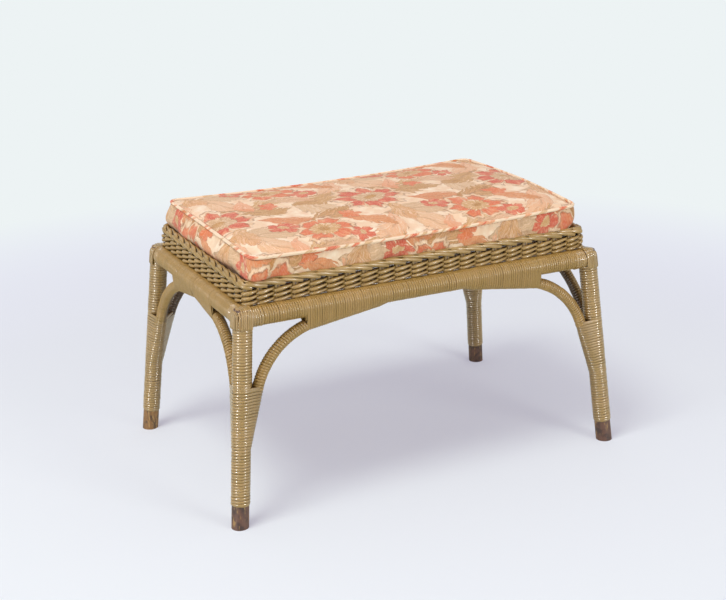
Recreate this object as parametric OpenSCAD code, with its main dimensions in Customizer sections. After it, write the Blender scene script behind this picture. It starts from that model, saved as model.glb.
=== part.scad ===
// Wicker footstool: splayed legs and round rails wrapped in reed, bent cane braces,
// a woven collar and a loose box cushion with piped seams. The front faces -Y.

/* [Frame] */
// Distance between the left and right leg axes at the top of the legs
frame_len = 598; // [520:1:680]
// Distance between the front and back leg axes at the top of the legs
frame_dep = 368; // [320:1:440]
// Height of the rail axes above the floor
rail_z = 317.5; // [280:0.5:360]
// Outward run of each leg along the length, from its top to the floor
splay_x = 31; // [15:1:45]
// Outward run of each leg along the depth, from its top to the floor
splay_y = 26; // [15:1:40]
// Diameter of a leg pole
leg_d = 26.4; // [24:0.2:27]
// Diameter of a rail pole
rail_d = 27.6; // [24:0.2:31]
// Diameter of the tenons on the rail ends
tenon_d = 10; // [7:0.5:12]
// Length of the tenons
tenon_len = 8; // [5:0.5:8.5]

/* [Braces] */
// Diameter of a brace cane
brace_d = 14.5; // [12:0.5:17]
// Clear space between leg and brace where the brace leaves the leg
brace_gap = 4.2; // [3.6:0.1:8]
// Drop from the top of the leg to the brace axis at that seam
brace_drop = 41.3; // [38:0.1:46]
// Bend radius of the free arch
brace_bend_r = 124; // [100:1:140]
// Bend radius of the run where the brace turns along the rail
brace_turn_r = 150; // [80:1:200]
// Length of the straight tail under a long rail
brace_tail = 96; // [60:1:120]
// Length of the straight foot that runs down the leg
brace_foot = 86.5; // [70:0.5:90]
// Gap between the ends of the two braces that meet under a short rail
brace_meet_gap = 5; // [3:0.5:12]
// Angle between the foot of the brace and the leg
brace_flare_angle = 12; // [10:0.1:13.5]
// Angle from upright of the brace axis at the rail seam
brace_seam_angle = 73.4; // [71:0.1:75]
// Angle from upright of the straight tail
brace_tail_angle = 83; // [81:0.1:84]

/* [Reed wrapping] */
// Thickness of the wrapped reed
wrap_t = 1.6; // [1.2:0.1:2.2]
// Thickness of the doubled reed that binds the corners
binding_t = 2; // [1.6:0.1:2.6]
// Reach of the corner binding along each rail from the leg axis
binding_reach = 25; // [22:1:27]
// Depth of the binding below the wrapped rail
binding_skirt = 3; // [2:0.5:6]
// Bare wood at the foot of each leg
bare_foot = 35; // [20:1:60]
// Length of the run where the common wrap closes onto the rail past the brace end
wrap_runout = 15; // [8:1:25]

/* [Seat deck] */
// Rise of the seat above the wrapped rails
seat_rise = 1; // [0.5:0.1:3]
// Thickness of the woven seat mat
mat_t = 1.6; // [1.2:0.1:2.5]
// Diameter of the cross canes
cane_d = 8; // [6:0.5:10]
// Spacing of the cross canes
cane_pitch = 28; // [24:1:40]
// Diameter of the ledgers that carry the cross canes
ledger_d = 12; // [10:0.5:14]

/* [Collar] */
// Distance from the rail axis in to the middle of the collar wall
collar_inset = 6.5; // [5:0.5:9]
// Height of the woven band
weave_h = 24.5; // [20:0.5:32]
// Height of the rolled border
border_h = 12; // [10:0.5:16]
// Width of the rolled border
border_w = 14; // [13.6:0.2:16]
// Diameter of a weaving strand
strand_d = 4.2; // [3.4:0.1:4.4]
// Diameter of a stake
stake_d = 4.4; // [3.6:0.1:4.6]
// Spacing of the stakes
stake_pitch = 28.4; // [22:0.2:36]
// Depth of the holes that hold the stakes in the rails
stake_depth = 8; // [5:0.5:9]
// Corner radius of the collar at the middle of its wall
collar_corner_r = 10; // [9:0.5:20]
// Run of straight wall between a corner and the stake nearest to it
corner_lead = 13; // [11:0.5:16]

/* [Cushion] */
// How far the top seam stands in from the ends of the frame
seam_inset_x = 19; // [15:1:40]
// How far the top seam stands in from the front and back of the frame
seam_inset_y = 7; // [5:1:25]
// Height from the seat to the top seam
cushion_h = 72; // [60:1:90]
// Rise of the top panel above its seam
crown = 9; // [4:0.5:16]
// Swell of the side band above the collar
side_swell = 6; // [2:0.5:9]
// Pull of each side inwards between the corners
side_draw = 4; // [1:0.5:8]
// Corner radius of the cushion
cushion_corner_r = 26; // [18:1:40]
// Diameter of the piping in the seams
welt_d = 5; // [4:0.2:6]
// Thickness of the cover fabric
fabric_t = 1; // [0.8:0.1:1.5]
// Free space between the cushion and the collar at the ends
end_play = 5; // [2:0.5:8]
// Free space between the cushion and the collar at the front and back
side_play = 0.8; // [0.6:0.1:3]

/* [Fasteners] */
// Diameter of the nails
nail_d = 2; // [1.6:0.1:2.4]
// Length of the nails that hold the braces
brace_nail_len = 17; // [14:0.5:20]
// Length of the nails that hold the ledgers
ledger_nail_len = 24; // [20:0.5:28]
// Nails in each ledger
ledger_nails = 5; // [3:1:9]

/* [Hidden] */

$fn = 48;
front = -1;
back = 1;
left = -1;
right = 1;
reed_color = "#b09a70";
wood_color = "#5b4030";
cane_color = "#c0a47a";
cloth_color = "#f1dcc4";
print_color = "#d5715a";
nail_color = "#77777a";

// Clearance between pieces that fit together, and the overrun of cuts
fit = 0.1;
over = 5;

// Frame
half_len = frame_len / 2;
half_dep = frame_dep / 2;
rail_r = rail_d / 2;
rail_wrap_r = rail_r + fit + wrap_t;
leg_top_z = rail_z + rail_r;
lean_x = atan(splay_x / leg_top_z);
lean_y = atan(splay_y / leg_top_z);
leg_run = norm([splay_x, splay_y, leg_top_z]);
leg_r = leg_d / 2;
shoulder = max(leg_r, rail_r) + fit;
// Turn of a leg pole about its own axis, which keeps its seam line clear of the tenon holes
pole_turn = 90;

// Leg stations, measured along the leg axis from the floor
function leg_station(z) = z * leg_run / leg_top_z;

// Brace outline in its own plane: x along the rail from the leg axis, z up from the leg top.
// Angles are taken from upright towards the rail.
brace_r = brace_d / 2;
brace_wrap_r = brace_r + fit + wrap_t;
brace_stand = leg_r + brace_gap + brace_r;
function along(angle) = [sin(angle), cos(angle)];
function across(angle) = [cos(angle), -sin(angle)];
function foot_angle(lean) = lean + brace_flare_angle;
function foot_drop(lean) = brace_drop + brace_bend_r * (sin(brace_seam_angle) - sin(foot_angle(lean)));
function foot_point(lean) = [(brace_stand - foot_drop(lean) * sin(lean)) / cos(lean), -foot_drop(lean)];
function bend_centre(lean) = foot_point(lean) + brace_bend_r * across(foot_angle(lean));
function seam_point(lean) = bend_centre(lean) - brace_bend_r * across(brace_seam_angle);
function turn_centre(lean) = seam_point(lean) + brace_turn_r * across(brace_seam_angle);
function tail_point(lean) = turn_centre(lean) - brace_turn_r * across(brace_tail_angle);
reach_x = seam_point(lean_x)[0];
reach_y = seam_point(lean_y)[0];
bend_facets = 96;
brace_sides = 14;
bend_steps = 15;
turn_steps = 3;
tail_short = (half_dep - brace_meet_gap / 2 - tail_point(lean_y)[0]) / sin(brace_tail_angle);

// The wrap on the leg changes over just above the point where the brace leaves it
seam_rise_share = 0.8;
leg_seam_z = leg_top_z + foot_point(lean_x)[1] + brace_wrap_r * seam_rise_share;
brace_tip_z = leg_top_z + foot_point(lean_x)[1] - brace_foot;
function seam_rim(lean) =
  let (v = leg_seam_z - leg_top_z) [v * tan(lean), v] + (leg_r + fit + wrap_t) * across(lean);
function foot_rise(lean) = (seam_rim(lean) - foot_point(lean)) * along(foot_angle(lean));
binding_z = rail_z - rail_wrap_r - binding_skirt;
binding_edge_x = half_len - binding_reach;
binding_edge_y = half_dep - binding_reach;

// Nails, as stations on the brace and depths below its skin
tail_nail_share = 0.45;
foot_nail_share = 0.7;
nail_inset = 0.4;
nail_fit = 0.05;

// Seat deck
seat_z = rail_z + rail_wrap_r + seat_rise;
cane_z = seat_z - mat_t - fit - cane_d / 2;
ledger_z = cane_z - cane_d / 2 - fit - ledger_d / 2;
ledger_y = half_dep - rail_wrap_r - fit - ledger_d / 2;
ledger_half = binding_edge_x - fit;
cane_half = half_dep - rail_wrap_r;
cane_field = ledger_half - cane_d;
cane_steps = 2 * floor(cane_field / cane_pitch);
cane_step = 2 * cane_field / cane_steps;
ledger_nail_share = 0.85;
ledger_nail_field = ledger_half * ledger_nail_share;

// Collar
collar_z = rail_z + rail_wrap_r + fit;
border_z = collar_z + weave_h + fit;
collar_half_x = half_len - collar_inset;
collar_half_y = half_dep - collar_inset;
slot_w = stake_d + 2 * fit;
collar_wall = slot_w + 2 * strand_d;
stake_half_x = collar_half_x - collar_corner_r - corner_lead;
stake_half_y = collar_half_y - collar_corner_r - corner_lead;
stakes_x = round(2 * stake_half_x / stake_pitch);
stakes_y = round(2 * stake_half_y / stake_pitch);
stake_step_x = 2 * stake_half_x / stakes_x;
stake_step_y = 2 * stake_half_y / stakes_y;
corner_stake_x = collar_half_x - collar_corner_r * (1 - cos(45));
corner_stake_y = collar_half_y - collar_corner_r * (1 - sin(45));
crossing_share = 0.36;
corner_slot_share = 0.6;

// Cushion levels, from the bottom seam to the top seam
welt_r = welt_d / 2;
cloth_gap = 0.3;
bottom_seam_z = seat_z + cloth_gap + welt_r;
top_seam_z = seat_z + cushion_h;
collar_top_z = border_z + border_h;
swell_z = (collar_top_z + top_seam_z) / 2;
clear_x = collar_half_x - border_w / 2;
clear_y = collar_half_y - border_w / 2;
low_half = [clear_x - end_play - welt_r, clear_y - side_play - welt_r];
neck_half = [clear_x - end_play, clear_y - side_play];
top_half = [half_len - seam_inset_x, half_dep - seam_inset_y];
swell_half = top_half + [side_swell, side_swell];
long_points = 7;
short_points = 5;
corner_points = 2;
panel_shares = [1, 0.75, 0.35];
welt_sides = 6;

// Legs
module on_leg(depth_side, length_side) {
  translate([length_side * (half_len + splay_x), depth_side * (half_dep + splay_y), 0])
    rotate([0, acos(leg_top_z / leg_run), atan2(-depth_side * splay_y, -length_side * splay_x)])
      children();
}

// A length of the leg between two heights, grown by a wrap
module leg_pole(depth_side, length_side, z_low, z_high, grow) {
  on_leg(depth_side, length_side)
    translate([0, 0, leg_station(z_low)])
      rotate([0, 0, pole_turn])
        cylinder(h = leg_station(z_high) - leg_station(z_low), r = leg_r + grow);
}

module leg(depth_side, length_side) {
  color(wood_color)
    difference() {
      leg_pole(depth_side, length_side, -over, leg_top_z + over, 0);
      translate([length_side * half_len, depth_side * half_dep, leg_top_z])
        translate([-leg_d, -leg_d, 0])
          cube([2 * leg_d, 2 * leg_d, leg_d]);
      translate([length_side * (half_len + splay_x), depth_side * (half_dep + splay_y), 0])
        translate([-leg_d, -leg_d, -leg_d])
          cube([2 * leg_d, 2 * leg_d, leg_d]);
      long_tenons(depth_side, nail_fit);
      short_tenons(length_side, nail_fit);
      corner(depth_side, length_side) {
        in_long_plane() foot_nail(lean_x, nail_fit);
        in_short_plane() foot_nail(lean_y, nail_fit);
      }
    }
}

// Rails
module pole_x(y, half, r) {
  translate([-half, y, rail_z])
    rotate([0, 90, 0])
      cylinder(h = 2 * half, r = r);
}

module pole_y(x, half, r) {
  translate([x, half, rail_z])
    rotate([90, 0, 0])
      cylinder(h = 2 * half, r = r);
}

module long_tenons(depth_side, grow) {
  pole_x(depth_side * half_dep, half_len - shoulder + tenon_len, tenon_d / 2 + grow);
}

module short_tenons(length_side, grow) {
  pole_y(length_side * half_len, half_dep - shoulder + tenon_len, tenon_d / 2 + grow);
}

module long_rail(depth_side) {
  color(wood_color)
    difference() {
      union() {
        pole_x(depth_side * half_dep, half_len - shoulder, rail_r);
        long_tenons(depth_side, 0);
      }
      stakes_of_long_side(depth_side, nail_fit);
      ledger_nail_row(depth_side, nail_fit);
      for (length_side = [left, right])
        corner(depth_side, length_side) in_long_plane() tail_nail(lean_x, brace_tail, nail_fit);
    }
}

module short_rail(length_side) {
  color(wood_color)
    difference() {
      union() {
        pole_y(length_side * half_len, half_dep - shoulder, rail_r);
        short_tenons(length_side, 0);
      }
      stakes_of_short_side(length_side, nail_fit);
      for (depth_side = [front, back])
        corner(depth_side, length_side) in_short_plane() tail_nail(lean_y, tail_short, nail_fit);
    }
}

// Braces. They are drawn at the front left corner and mirrored to the others.
module corner(depth_side, length_side) {
  mirror([length_side == right ? 1 : 0, 0, 0])
    mirror([0, depth_side == back ? 1 : 0, 0])
      translate([-half_len, -half_dep, leg_top_z])
        children();
}

module in_long_plane() {
  rotate([-lean_y, 0, 0])
    children();
}

module in_short_plane() {
  rotate([0, lean_x, 0])
    rotate([0, 0, 90])
      children();
}

// A straight run of cane from a point, along an angle from upright
module straight_run(from, angle, len, r) {
  translate([from[0], 0, from[1]])
    rotate([0, angle, 0])
      cylinder(h = len, r = r);
}

// A bent run of cane between two angles from upright
module bent_run(centre, bend_r, angle_low, angle_high) {
  translate([centre[0], 0, centre[1]])
    rotate([90, 0, 0])
      rotate([0, 0, 180 - angle_high])
        rotate_extrude(angle = angle_high - angle_low, $fn = bend_facets)
          translate([bend_r, 0])
            children();
}

// Stations of the whole brace from its foot to the end of its tail, each a point and an angle
function brace_path(lean, tail) =
  concat(
    [[foot_point(lean) - brace_foot * along(foot_angle(lean)), foot_angle(lean)]],
    [for (i = [0 : bend_steps])
      let (a = foot_angle(lean) + (brace_seam_angle - foot_angle(lean)) * i / bend_steps)
      [bend_centre(lean) - brace_bend_r * across(a), a]],
    [for (i = [1 : turn_steps])
      let (a = brace_seam_angle + (brace_tail_angle - brace_seam_angle) * i / turn_steps)
      [turn_centre(lean) - brace_turn_r * across(a), a]],
    [[tail_point(lean) + tail * along(brace_tail_angle), brace_tail_angle]]
  );

function brace_ring(station, r) =
  [for (i = [0 : brace_sides - 1])
    let (turn = 360 * i / brace_sides, side = r * cos(turn) * across(station[1]))
    [station[0][0] + side[0], r * sin(turn), station[0][1] + side[1]]];

module brace_pole(lean, tail, r) {
  capped_skin([for (station = brace_path(lean, tail)) brace_ring(station, r)]);
}

module tail_nail(lean, tail, grow) {
  at = tail_point(lean) + tail * tail_nail_share * along(brace_tail_angle);
  translate([at[0], 0, at[1] - brace_r + nail_inset])
    cylinder(h = brace_nail_len, r = nail_d / 2 + grow, $fn = 24);
}

module foot_nail(lean, grow) {
  at = foot_point(lean) - brace_foot * foot_nail_share * along(foot_angle(lean));
  translate([at[0] + brace_r - nail_inset, 0, at[1]])
    rotate([0, -90, 0])
      cylinder(h = brace_nail_len, r = nail_d / 2 + grow, $fn = 24);
}

// The brace is pared flat where it lies against the leg and the rail
module brace_seats(lean, other_lean) {
  seat_w = 2 * brace_d;
  rotate([0, lean, 0])
    translate([leg_r + 2 * fit - seat_w, -seat_w / 2, -leg_run])
      cube([seat_w, seat_w, leg_run]);
  translate([seam_point(lean)[0], -seat_w / 2, (rail_z - leg_top_z) * cos(other_lean) - rail_r - 2 * fit])
    cube([half_len, seat_w, seat_w]);
}

module brace(lean, other_lean, tail) {
  difference() {
    brace_pole(lean, tail, brace_r);
    brace_seats(lean, other_lean);
    tail_nail(lean, tail, nail_fit);
    foot_nail(lean, nail_fit);
  }
}

module brace_long(depth_side, length_side) {
  color(cane_color)
    corner(depth_side, length_side)
      in_long_plane() brace(lean_x, lean_y, brace_tail);
}

module brace_short(depth_side, length_side) {
  color(cane_color)
    corner(depth_side, length_side)
      in_short_plane() brace(lean_y, lean_x, tail_short);
}

module brace_nails() {
  color(nail_color)
    for (depth_side = [front, back], length_side = [left, right])
      corner(depth_side, length_side) {
        in_long_plane() {
          tail_nail(lean_x, brace_tail, 0);
          foot_nail(lean_x, 0);
        }
        in_short_plane() {
          tail_nail(lean_y, tail_short, 0);
          foot_nail(lean_y, 0);
        }
      }
}

// Reed wrapping
module brace_wrap(depth_side, length_side, long_side) {
  lean = long_side ? lean_x : lean_y;
  color(reed_color)
    corner(depth_side, length_side)
      if (long_side)
        in_long_plane() brace_sleeve(lean);
      else
        in_short_plane() brace_sleeve(lean);
}

module brace_sleeve(lean) {
  start = foot_angle(lean) + atan((foot_rise(lean) + 2 * fit) / brace_bend_r);
  bent_run(bend_centre(lean), brace_bend_r, start, brace_seam_angle)
    difference() {
      circle(brace_wrap_r);
      circle(brace_r + fit);
    }
}

// The feet of the two braces of a leg, held tight against it
module foot_bundle(depth_side, length_side, grow, end_grow) {
  hull() {
    leg_pole(depth_side, length_side, brace_tip_z - end_grow, leg_seam_z + end_grow, grow, $fn = 32);
    corner(depth_side, length_side) {
      in_long_plane() foot_run(lean_x, brace_r + grow, end_grow);
      in_short_plane() foot_run(lean_y, brace_r + grow, end_grow);
    }
  }
}

module foot_run(lean, r, end_grow) {
  straight_run(foot_point(lean) - (brace_foot + end_grow) * along(foot_angle(lean)), foot_angle(lean),
               brace_foot + foot_rise(lean) + 2 * end_grow, r, $fn = 32);
}

// Below the seam one wrap holds the leg and the feet of its two braces
module leg_wrap_lower(depth_side, length_side) {
  color(reed_color)
    difference() {
      union() {
        leg_pole(depth_side, length_side, bare_foot, brace_tip_z + over, wrap_t - fit);
        foot_bundle(depth_side, length_side, fit + wrap_t, 0);
      }
      leg_pole(depth_side, length_side, 0, leg_top_z, fit);
      foot_bundle(depth_side, length_side, 3 * fit, fit);
    }
}

module leg_wrap_upper(depth_side, length_side) {
  color(reed_color)
    difference() {
      leg_pole(depth_side, length_side, leg_seam_z + fit, binding_z, fit + wrap_t);
      leg_pole(depth_side, length_side, 0, leg_top_z, fit);
    }
}

// A short run of the brace at each end of its tail
module tail_ends(lean, tail, grow, end_grow) {
  end_point = tail_point(lean) + tail * along(brace_tail_angle);
  straight_run(seam_point(lean) - end_grow * along(brace_seam_angle), brace_seam_angle, fit, brace_r + grow,
               $fn = 32);
  straight_run(end_point, brace_tail_angle, fit + end_grow, brace_r + grow, $fn = 32);
}

// Past its seam the brace tail shares one wrap with the rail
module long_tail_bundle(depth_side, length_side, grow, end_grow) {
  end_point = tail_point(lean_x) + brace_tail * along(brace_tail_angle);
  hull() {
    corner(depth_side, length_side)
      in_long_plane() tail_ends(lean_x, brace_tail, grow, end_grow);
    translate([length_side * (half_len - reach_x + end_grow), depth_side * half_dep, rail_z])
      rotate([0, -length_side * 90, 0])
        cylinder(h = end_point[0] + wrap_runout - reach_x + end_grow, r = rail_r + grow, $fn = 32);
  }
}

module short_tail_bundle(depth_side, length_side, grow, end_grow) {
  hull() {
    corner(depth_side, length_side)
      in_short_plane() tail_ends(lean_y, tail_short, grow, end_grow);
    translate([length_side * half_len, depth_side * (half_dep - reach_y + end_grow), rail_z])
      rotate([depth_side * 90, 0, 0])
        cylinder(h = half_dep - reach_y + end_grow, r = rail_r + grow, $fn = 32);
  }
}

module long_rail_wrap(depth_side) {
  color(reed_color)
    difference() {
      union() {
        pole_x(depth_side * half_dep, binding_edge_x, rail_wrap_r);
        for (length_side = [left, right])
          long_tail_bundle(depth_side, length_side, fit + wrap_t, 0);
      }
      pole_x(depth_side * half_dep, half_len, rail_r + fit);
      for (length_side = [left, right])
        long_tail_bundle(depth_side, length_side, 2 * fit, fit);
      stakes_of_long_side(depth_side, nail_fit);
      ledger_nail_row(depth_side, nail_fit);
    }
}

module short_rail_wrap(length_side) {
  color(reed_color)
    difference() {
      union() {
        pole_y(length_side * half_len, binding_edge_y, rail_wrap_r);
        for (depth_side = [front, back])
          short_tail_bundle(depth_side, length_side, fit + wrap_t, 0);
      }
      pole_y(length_side * half_len, half_dep, rail_r + fit);
      for (depth_side = [front, back])
        short_tail_bundle(depth_side, length_side, 2 * fit, fit);
      stakes_of_short_side(length_side, nail_fit);
    }
}

module corner_binding(depth_side, length_side) {
  color(reed_color)
    difference() {
      union() {
        leg_pole(depth_side, length_side, binding_z, leg_top_z + over, fit + binding_t);
        corner(depth_side, length_side)
          translate([0, 0, rail_z - leg_top_z]) {
            rotate([0, 90, 0])
              cylinder(h = binding_reach, r = rail_r + fit + binding_t);
            rotate([-90, 0, 0])
              cylinder(h = binding_reach, r = rail_r + fit + binding_t);
          }
      }
      corner(depth_side, length_side)
        translate([-2 * binding_reach, -2 * binding_reach, rail_z + rail_wrap_r - leg_top_z])
          cube([4 * binding_reach, 4 * binding_reach, binding_reach]);
      binding_hollow(depth_side, length_side);
    }
}

// The space that the leg top and the rail ends fill inside the binding
module binding_hollow(depth_side, length_side) {
  difference() {
    leg_pole(depth_side, length_side, 0, leg_top_z + over, fit);
    corner(depth_side, length_side)
      translate([-2 * leg_d, -2 * leg_d, fit])
        cube([4 * leg_d, 4 * leg_d, leg_d]);
  }
  corner(depth_side, length_side)
    translate([0, 0, rail_z - leg_top_z]) {
      translate([shoulder - fit, 0, 0])
        rotate([0, 90, 0])
          cylinder(h = binding_reach, r = rail_r + fit);
      translate([0, shoulder - fit, 0])
        rotate([-90, 0, 0])
          cylinder(h = binding_reach, r = rail_r + fit);
      rotate([0, 90, 0])
        cylinder(h = binding_reach, r = tenon_d / 2 + fit);
      rotate([-90, 0, 0])
        cylinder(h = binding_reach, r = tenon_d / 2 + fit);
    }
}

// Seat deck
module seat_ledgers() {
  color(cane_color)
    for (depth_side = [front, back])
      difference() {
        translate([-ledger_half, depth_side * ledger_y, ledger_z])
          rotate([0, 90, 0])
            cylinder(h = 2 * ledger_half, d = ledger_d);
        ledger_nail_row(depth_side, nail_fit);
      }
}

module ledger_nail_row(depth_side, grow) {
  for (i = [0 : ledger_nails - 1])
    translate([ledger_nail_field * (2 * i / (ledger_nails - 1) - 1),
               depth_side * (ledger_y - ledger_d / 2 + nail_inset), ledger_z])
      rotate([-depth_side * 90, 0, 0])
        cylinder(h = ledger_nail_len, r = nail_d / 2 + grow, $fn = 24);
}

module ledger_nail_set() {
  color(nail_color)
    for (depth_side = [front, back])
      ledger_nail_row(depth_side, 0);
}

module seat_canes() {
  color(cane_color)
    for (i = [0 : cane_steps])
      translate([-cane_field + i * cane_step, cane_half, cane_z])
        rotate([90, 0, 0])
          cylinder(h = 2 * cane_half, d = cane_d);
}

module seat_mat() {
  color(reed_color)
    translate([0, 0, seat_z - mat_t])
      linear_extrude(mat_t)
        collar_outline(-collar_wall / 2 - 2 * fit);
}

// Collar
module stake(grow) {
  translate([0, 0, collar_z - stake_depth])
    cylinder(h = stake_depth + weave_h, r = stake_d / 2 + grow, $fn = 24);
}

module stakes_of_long_side(depth_side, grow) {
  for (i = [0 : stakes_x])
    translate([-stake_half_x + i * stake_step_x, depth_side * collar_half_y, 0])
      stake(grow);
}

module stakes_of_short_side(length_side, grow) {
  for (i = [0 : stakes_y])
    translate([length_side * collar_half_x, -stake_half_y + i * stake_step_y, 0])
      stake(grow);
}

module collar_stakes() {
  color(reed_color) {
    for (depth_side = [front, back])
      stakes_of_long_side(depth_side, 0);
    for (length_side = [left, right])
      stakes_of_short_side(length_side, 0);
    for (i = [left, right], j = [front, back])
      translate([i * corner_stake_x, j * corner_stake_y, collar_z])
        cylinder(h = weave_h, d = stake_d, $fn = 24);
  }
}

// A rectangle with round corners, grown from the middle line of the collar
module collar_outline(grow) {
  r = collar_corner_r + grow;
  square([2 * (collar_half_x + grow - r), 2 * (collar_half_y + grow)], center = true);
  square([2 * (collar_half_x + grow), 2 * (collar_half_y + grow - r)], center = true);
  for (i = [left, right], j = [front, back])
    translate([i * (collar_half_x + grow - r), j * (collar_half_y + grow - r)])
      circle(r);
}

// The strands pass in front of and behind each stake and cross between the stakes
module collar_weave() {
  color(reed_color)
    translate([0, 0, collar_z])
      linear_extrude(weave_h)
        difference() {
          collar_outline(collar_wall / 2);
          collar_outline(-collar_wall / 2);
          for (i = [0 : stakes_x], j = [front, back])
            translate([-stake_half_x + i * stake_step_x, j * collar_half_y])
              square([stake_step_x * (1 - crossing_share), slot_w], center = true);
          for (i = [0 : stakes_y], j = [left, right])
            translate([j * collar_half_x, -stake_half_y + i * stake_step_y])
              square([slot_w, stake_step_y * (1 - crossing_share)], center = true);
          for (i = [left, right], j = [front, back])
            translate([i * corner_stake_x, j * corner_stake_y])
              rotate([0, 0, atan2(j, i)])
                square([slot_w, collar_corner_r * corner_slot_share], center = true);
        }
}

// Section of the rolled border, standing on its lower edge
module border_section() {
  translate([0, border_h / 2])
    square([border_w - border_h, border_h], center = true);
  for (i = [-1, 1])
    translate([i * (border_w - border_h) / 2, border_h / 2])
      circle(border_h / 2, $fn = 32);
}

module collar_border() {
  color(reed_color)
    translate([0, 0, border_z]) {
      for (j = [front, back])
        translate([-(collar_half_x - collar_corner_r), j * collar_half_y, 0])
          rotate([90, 0, 90])
            linear_extrude(2 * (collar_half_x - collar_corner_r))
              border_section();
      for (i = [left, right])
        translate([i * collar_half_x, collar_half_y - collar_corner_r, 0])
          rotate([90, 0, 0])
            linear_extrude(2 * (collar_half_y - collar_corner_r))
              border_section();
      for (i = [left, right], j = [front, back])
        translate([i * (collar_half_x - collar_corner_r), j * (collar_half_y - collar_corner_r), 0])
          rotate([0, 0, atan2(j, i) - 45])
            rotate_extrude(angle = 90)
              translate([collar_corner_r, 0])
                border_section();
    }
}

// Cushion. A ring is one trip round the cushion at a level, given by its half sizes.
function side_points(half, draw, count) =
  [for (i = [0 : count - 1]) let (t = 2 * i / (count - 1) - 1) [half * t, draw * (1 - t * t)]];

function turned(points, angle) =
  [for (p = points) [p[0] * cos(angle) - p[1] * sin(angle), p[0] * sin(angle) + p[1] * cos(angle)]];

function corner_arc(centre, r, start) =
  [for (i = [1 : corner_points]) let (a = start + 90 * i / (corner_points + 1))
    [centre[0] + r * cos(a), centre[1] + r * sin(a)]];

function plan(half, grow) =
  let (r = cushion_corner_r + grow, hx = half[0] + grow, hy = half[1] + grow)
  concat(
    [for (p = side_points(hx - r, side_draw, long_points)) p + [0, -hy]],
    corner_arc([hx - r, -hy + r], r, -90),
    [for (p = turned(side_points(hy - r, side_draw, short_points), 90)) p + [hx, 0]],
    corner_arc([hx - r, hy - r], r, 0),
    [for (p = turned(side_points(hx - r, side_draw, long_points), 180)) p + [0, hy]],
    corner_arc([-hx + r, hy - r], r, 90),
    [for (p = turned(side_points(hy - r, side_draw, short_points), 270)) p + [-hx, 0]],
    corner_arc([-hx + r, -hy + r], r, 180)
  );

function ring(half, grow, z, share = 1) = [for (p = plan(half, grow)) [p[0] * share, p[1] * share, z]];

function flat_list(rings) = [for (one = rings, p = one) p];

function bands(rings, count, closed) =
  let (last = len(rings) - (closed ? 0 : 1))
  [for (i = [0 : last - 1], j = [0 : count - 1], half = [0, 1])
    let (a = i * count, b = ((i + 1) % len(rings)) * count, k = (j + 1) % count)
    half == 0 ? [a + j, b + j, b + k] : [a + j, b + k, a + k]];

function ring_middle(points) = [for (k = [0 : 2]) total([for (p = points) p[k]]) / len(points)];

function total(values) = values * [for (v = values) 1];

// A closed skin whose first and last rings are closed by flat caps
module capped_skin(rings) {
  count = len(rings[0]);
  first = len(rings) * count;
  lower = ring_middle(rings[0]);
  upper = ring_middle(rings[len(rings) - 1]);
  top_start = (len(rings) - 1) * count;
  polyhedron(
    points = concat(flat_list(rings), [lower, upper]),
    faces = concat(
      bands(rings, count, false),
      [for (j = [0 : count - 1]) [first, j, (j + 1) % count]],
      [for (j = [0 : count - 1]) [first + 1, top_start + (j + 1) % count, top_start + j]]
    ),
    convexity = 4
  );
}

// A closed loop of rings, such as a band or a piping
module looped_skin(rings) {
  count = len(rings[0]);
  polyhedron(points = flat_list(rings), faces = bands(rings, count, true), convexity = 6);
}

seam_grow = -(welt_r + fit);
function crown_z(share) = top_seam_z + crown * (1 - share * share);

module cushion_top_panel() {
  color(cloth_color)
    capped_skin(concat(
      [for (i = [len(panel_shares) - 1 : -1 : 0])
        ring(top_half, seam_grow, crown_z(panel_shares[i]) - fabric_t, panel_shares[i])],
      [for (share = panel_shares) ring(top_half, seam_grow, crown_z(share), share)]
    ));
}

module cushion_bottom_panel() {
  low = seat_z + cloth_gap;
  color(cloth_color)
    capped_skin([
      ring(low_half, seam_grow, low, panel_shares[1]),
      ring(low_half, seam_grow, low + welt_r - fabric_t),
      ring(low_half, seam_grow, low + welt_r),
      ring(low_half, seam_grow, low + fabric_t, panel_shares[1])
    ]);
}

// Half sizes and heights of the side band, from its lower to its upper edge
band_low_z = bottom_seam_z + welt_r + fit;
band_high_z = top_seam_z - welt_r - fit;
function band_levels(grow) = [
  ring(low_half, grow, band_low_z),
  ring(neck_half, grow, collar_top_z),
  ring(swell_half, grow, swell_z),
  ring(top_half, grow, band_high_z)
];

module cushion_side_band() {
  outer = band_levels(0);
  inner = band_levels(-fabric_t);
  color(print_color)
    looped_skin(concat(inner, [for (i = [len(outer) - 1 : -1 : 0]) outer[i]]));
}

module cushion_filling() {
  inside = -(fabric_t + 2 * fit);
  low = seat_z + cloth_gap + fabric_t + fit;
  color("#f4efe4")
    capped_skin(concat(
      [ring(low_half, seam_grow, low, panel_shares[1])],
      [ring(low_half, seam_grow - fabric_t, low + welt_r)],
      band_levels(inside),
      [for (share = panel_shares)
        ring(top_half, seam_grow - fabric_t, crown_z(share) - fabric_t - 3 * fit, share)]
    ));
}

module welt(half, z) {
  looped_skin([for (i = [0 : welt_sides - 1]) let (a = -360 * i / welt_sides)
    ring(half, welt_r * cos(a), z + welt_r * sin(a))]);
}

module cushion_top_welt() {
  color(cloth_color)
    welt(top_half, top_seam_z);
}

module cushion_bottom_welt() {
  color(cloth_color)
    welt(low_half, bottom_seam_z);
}

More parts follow.
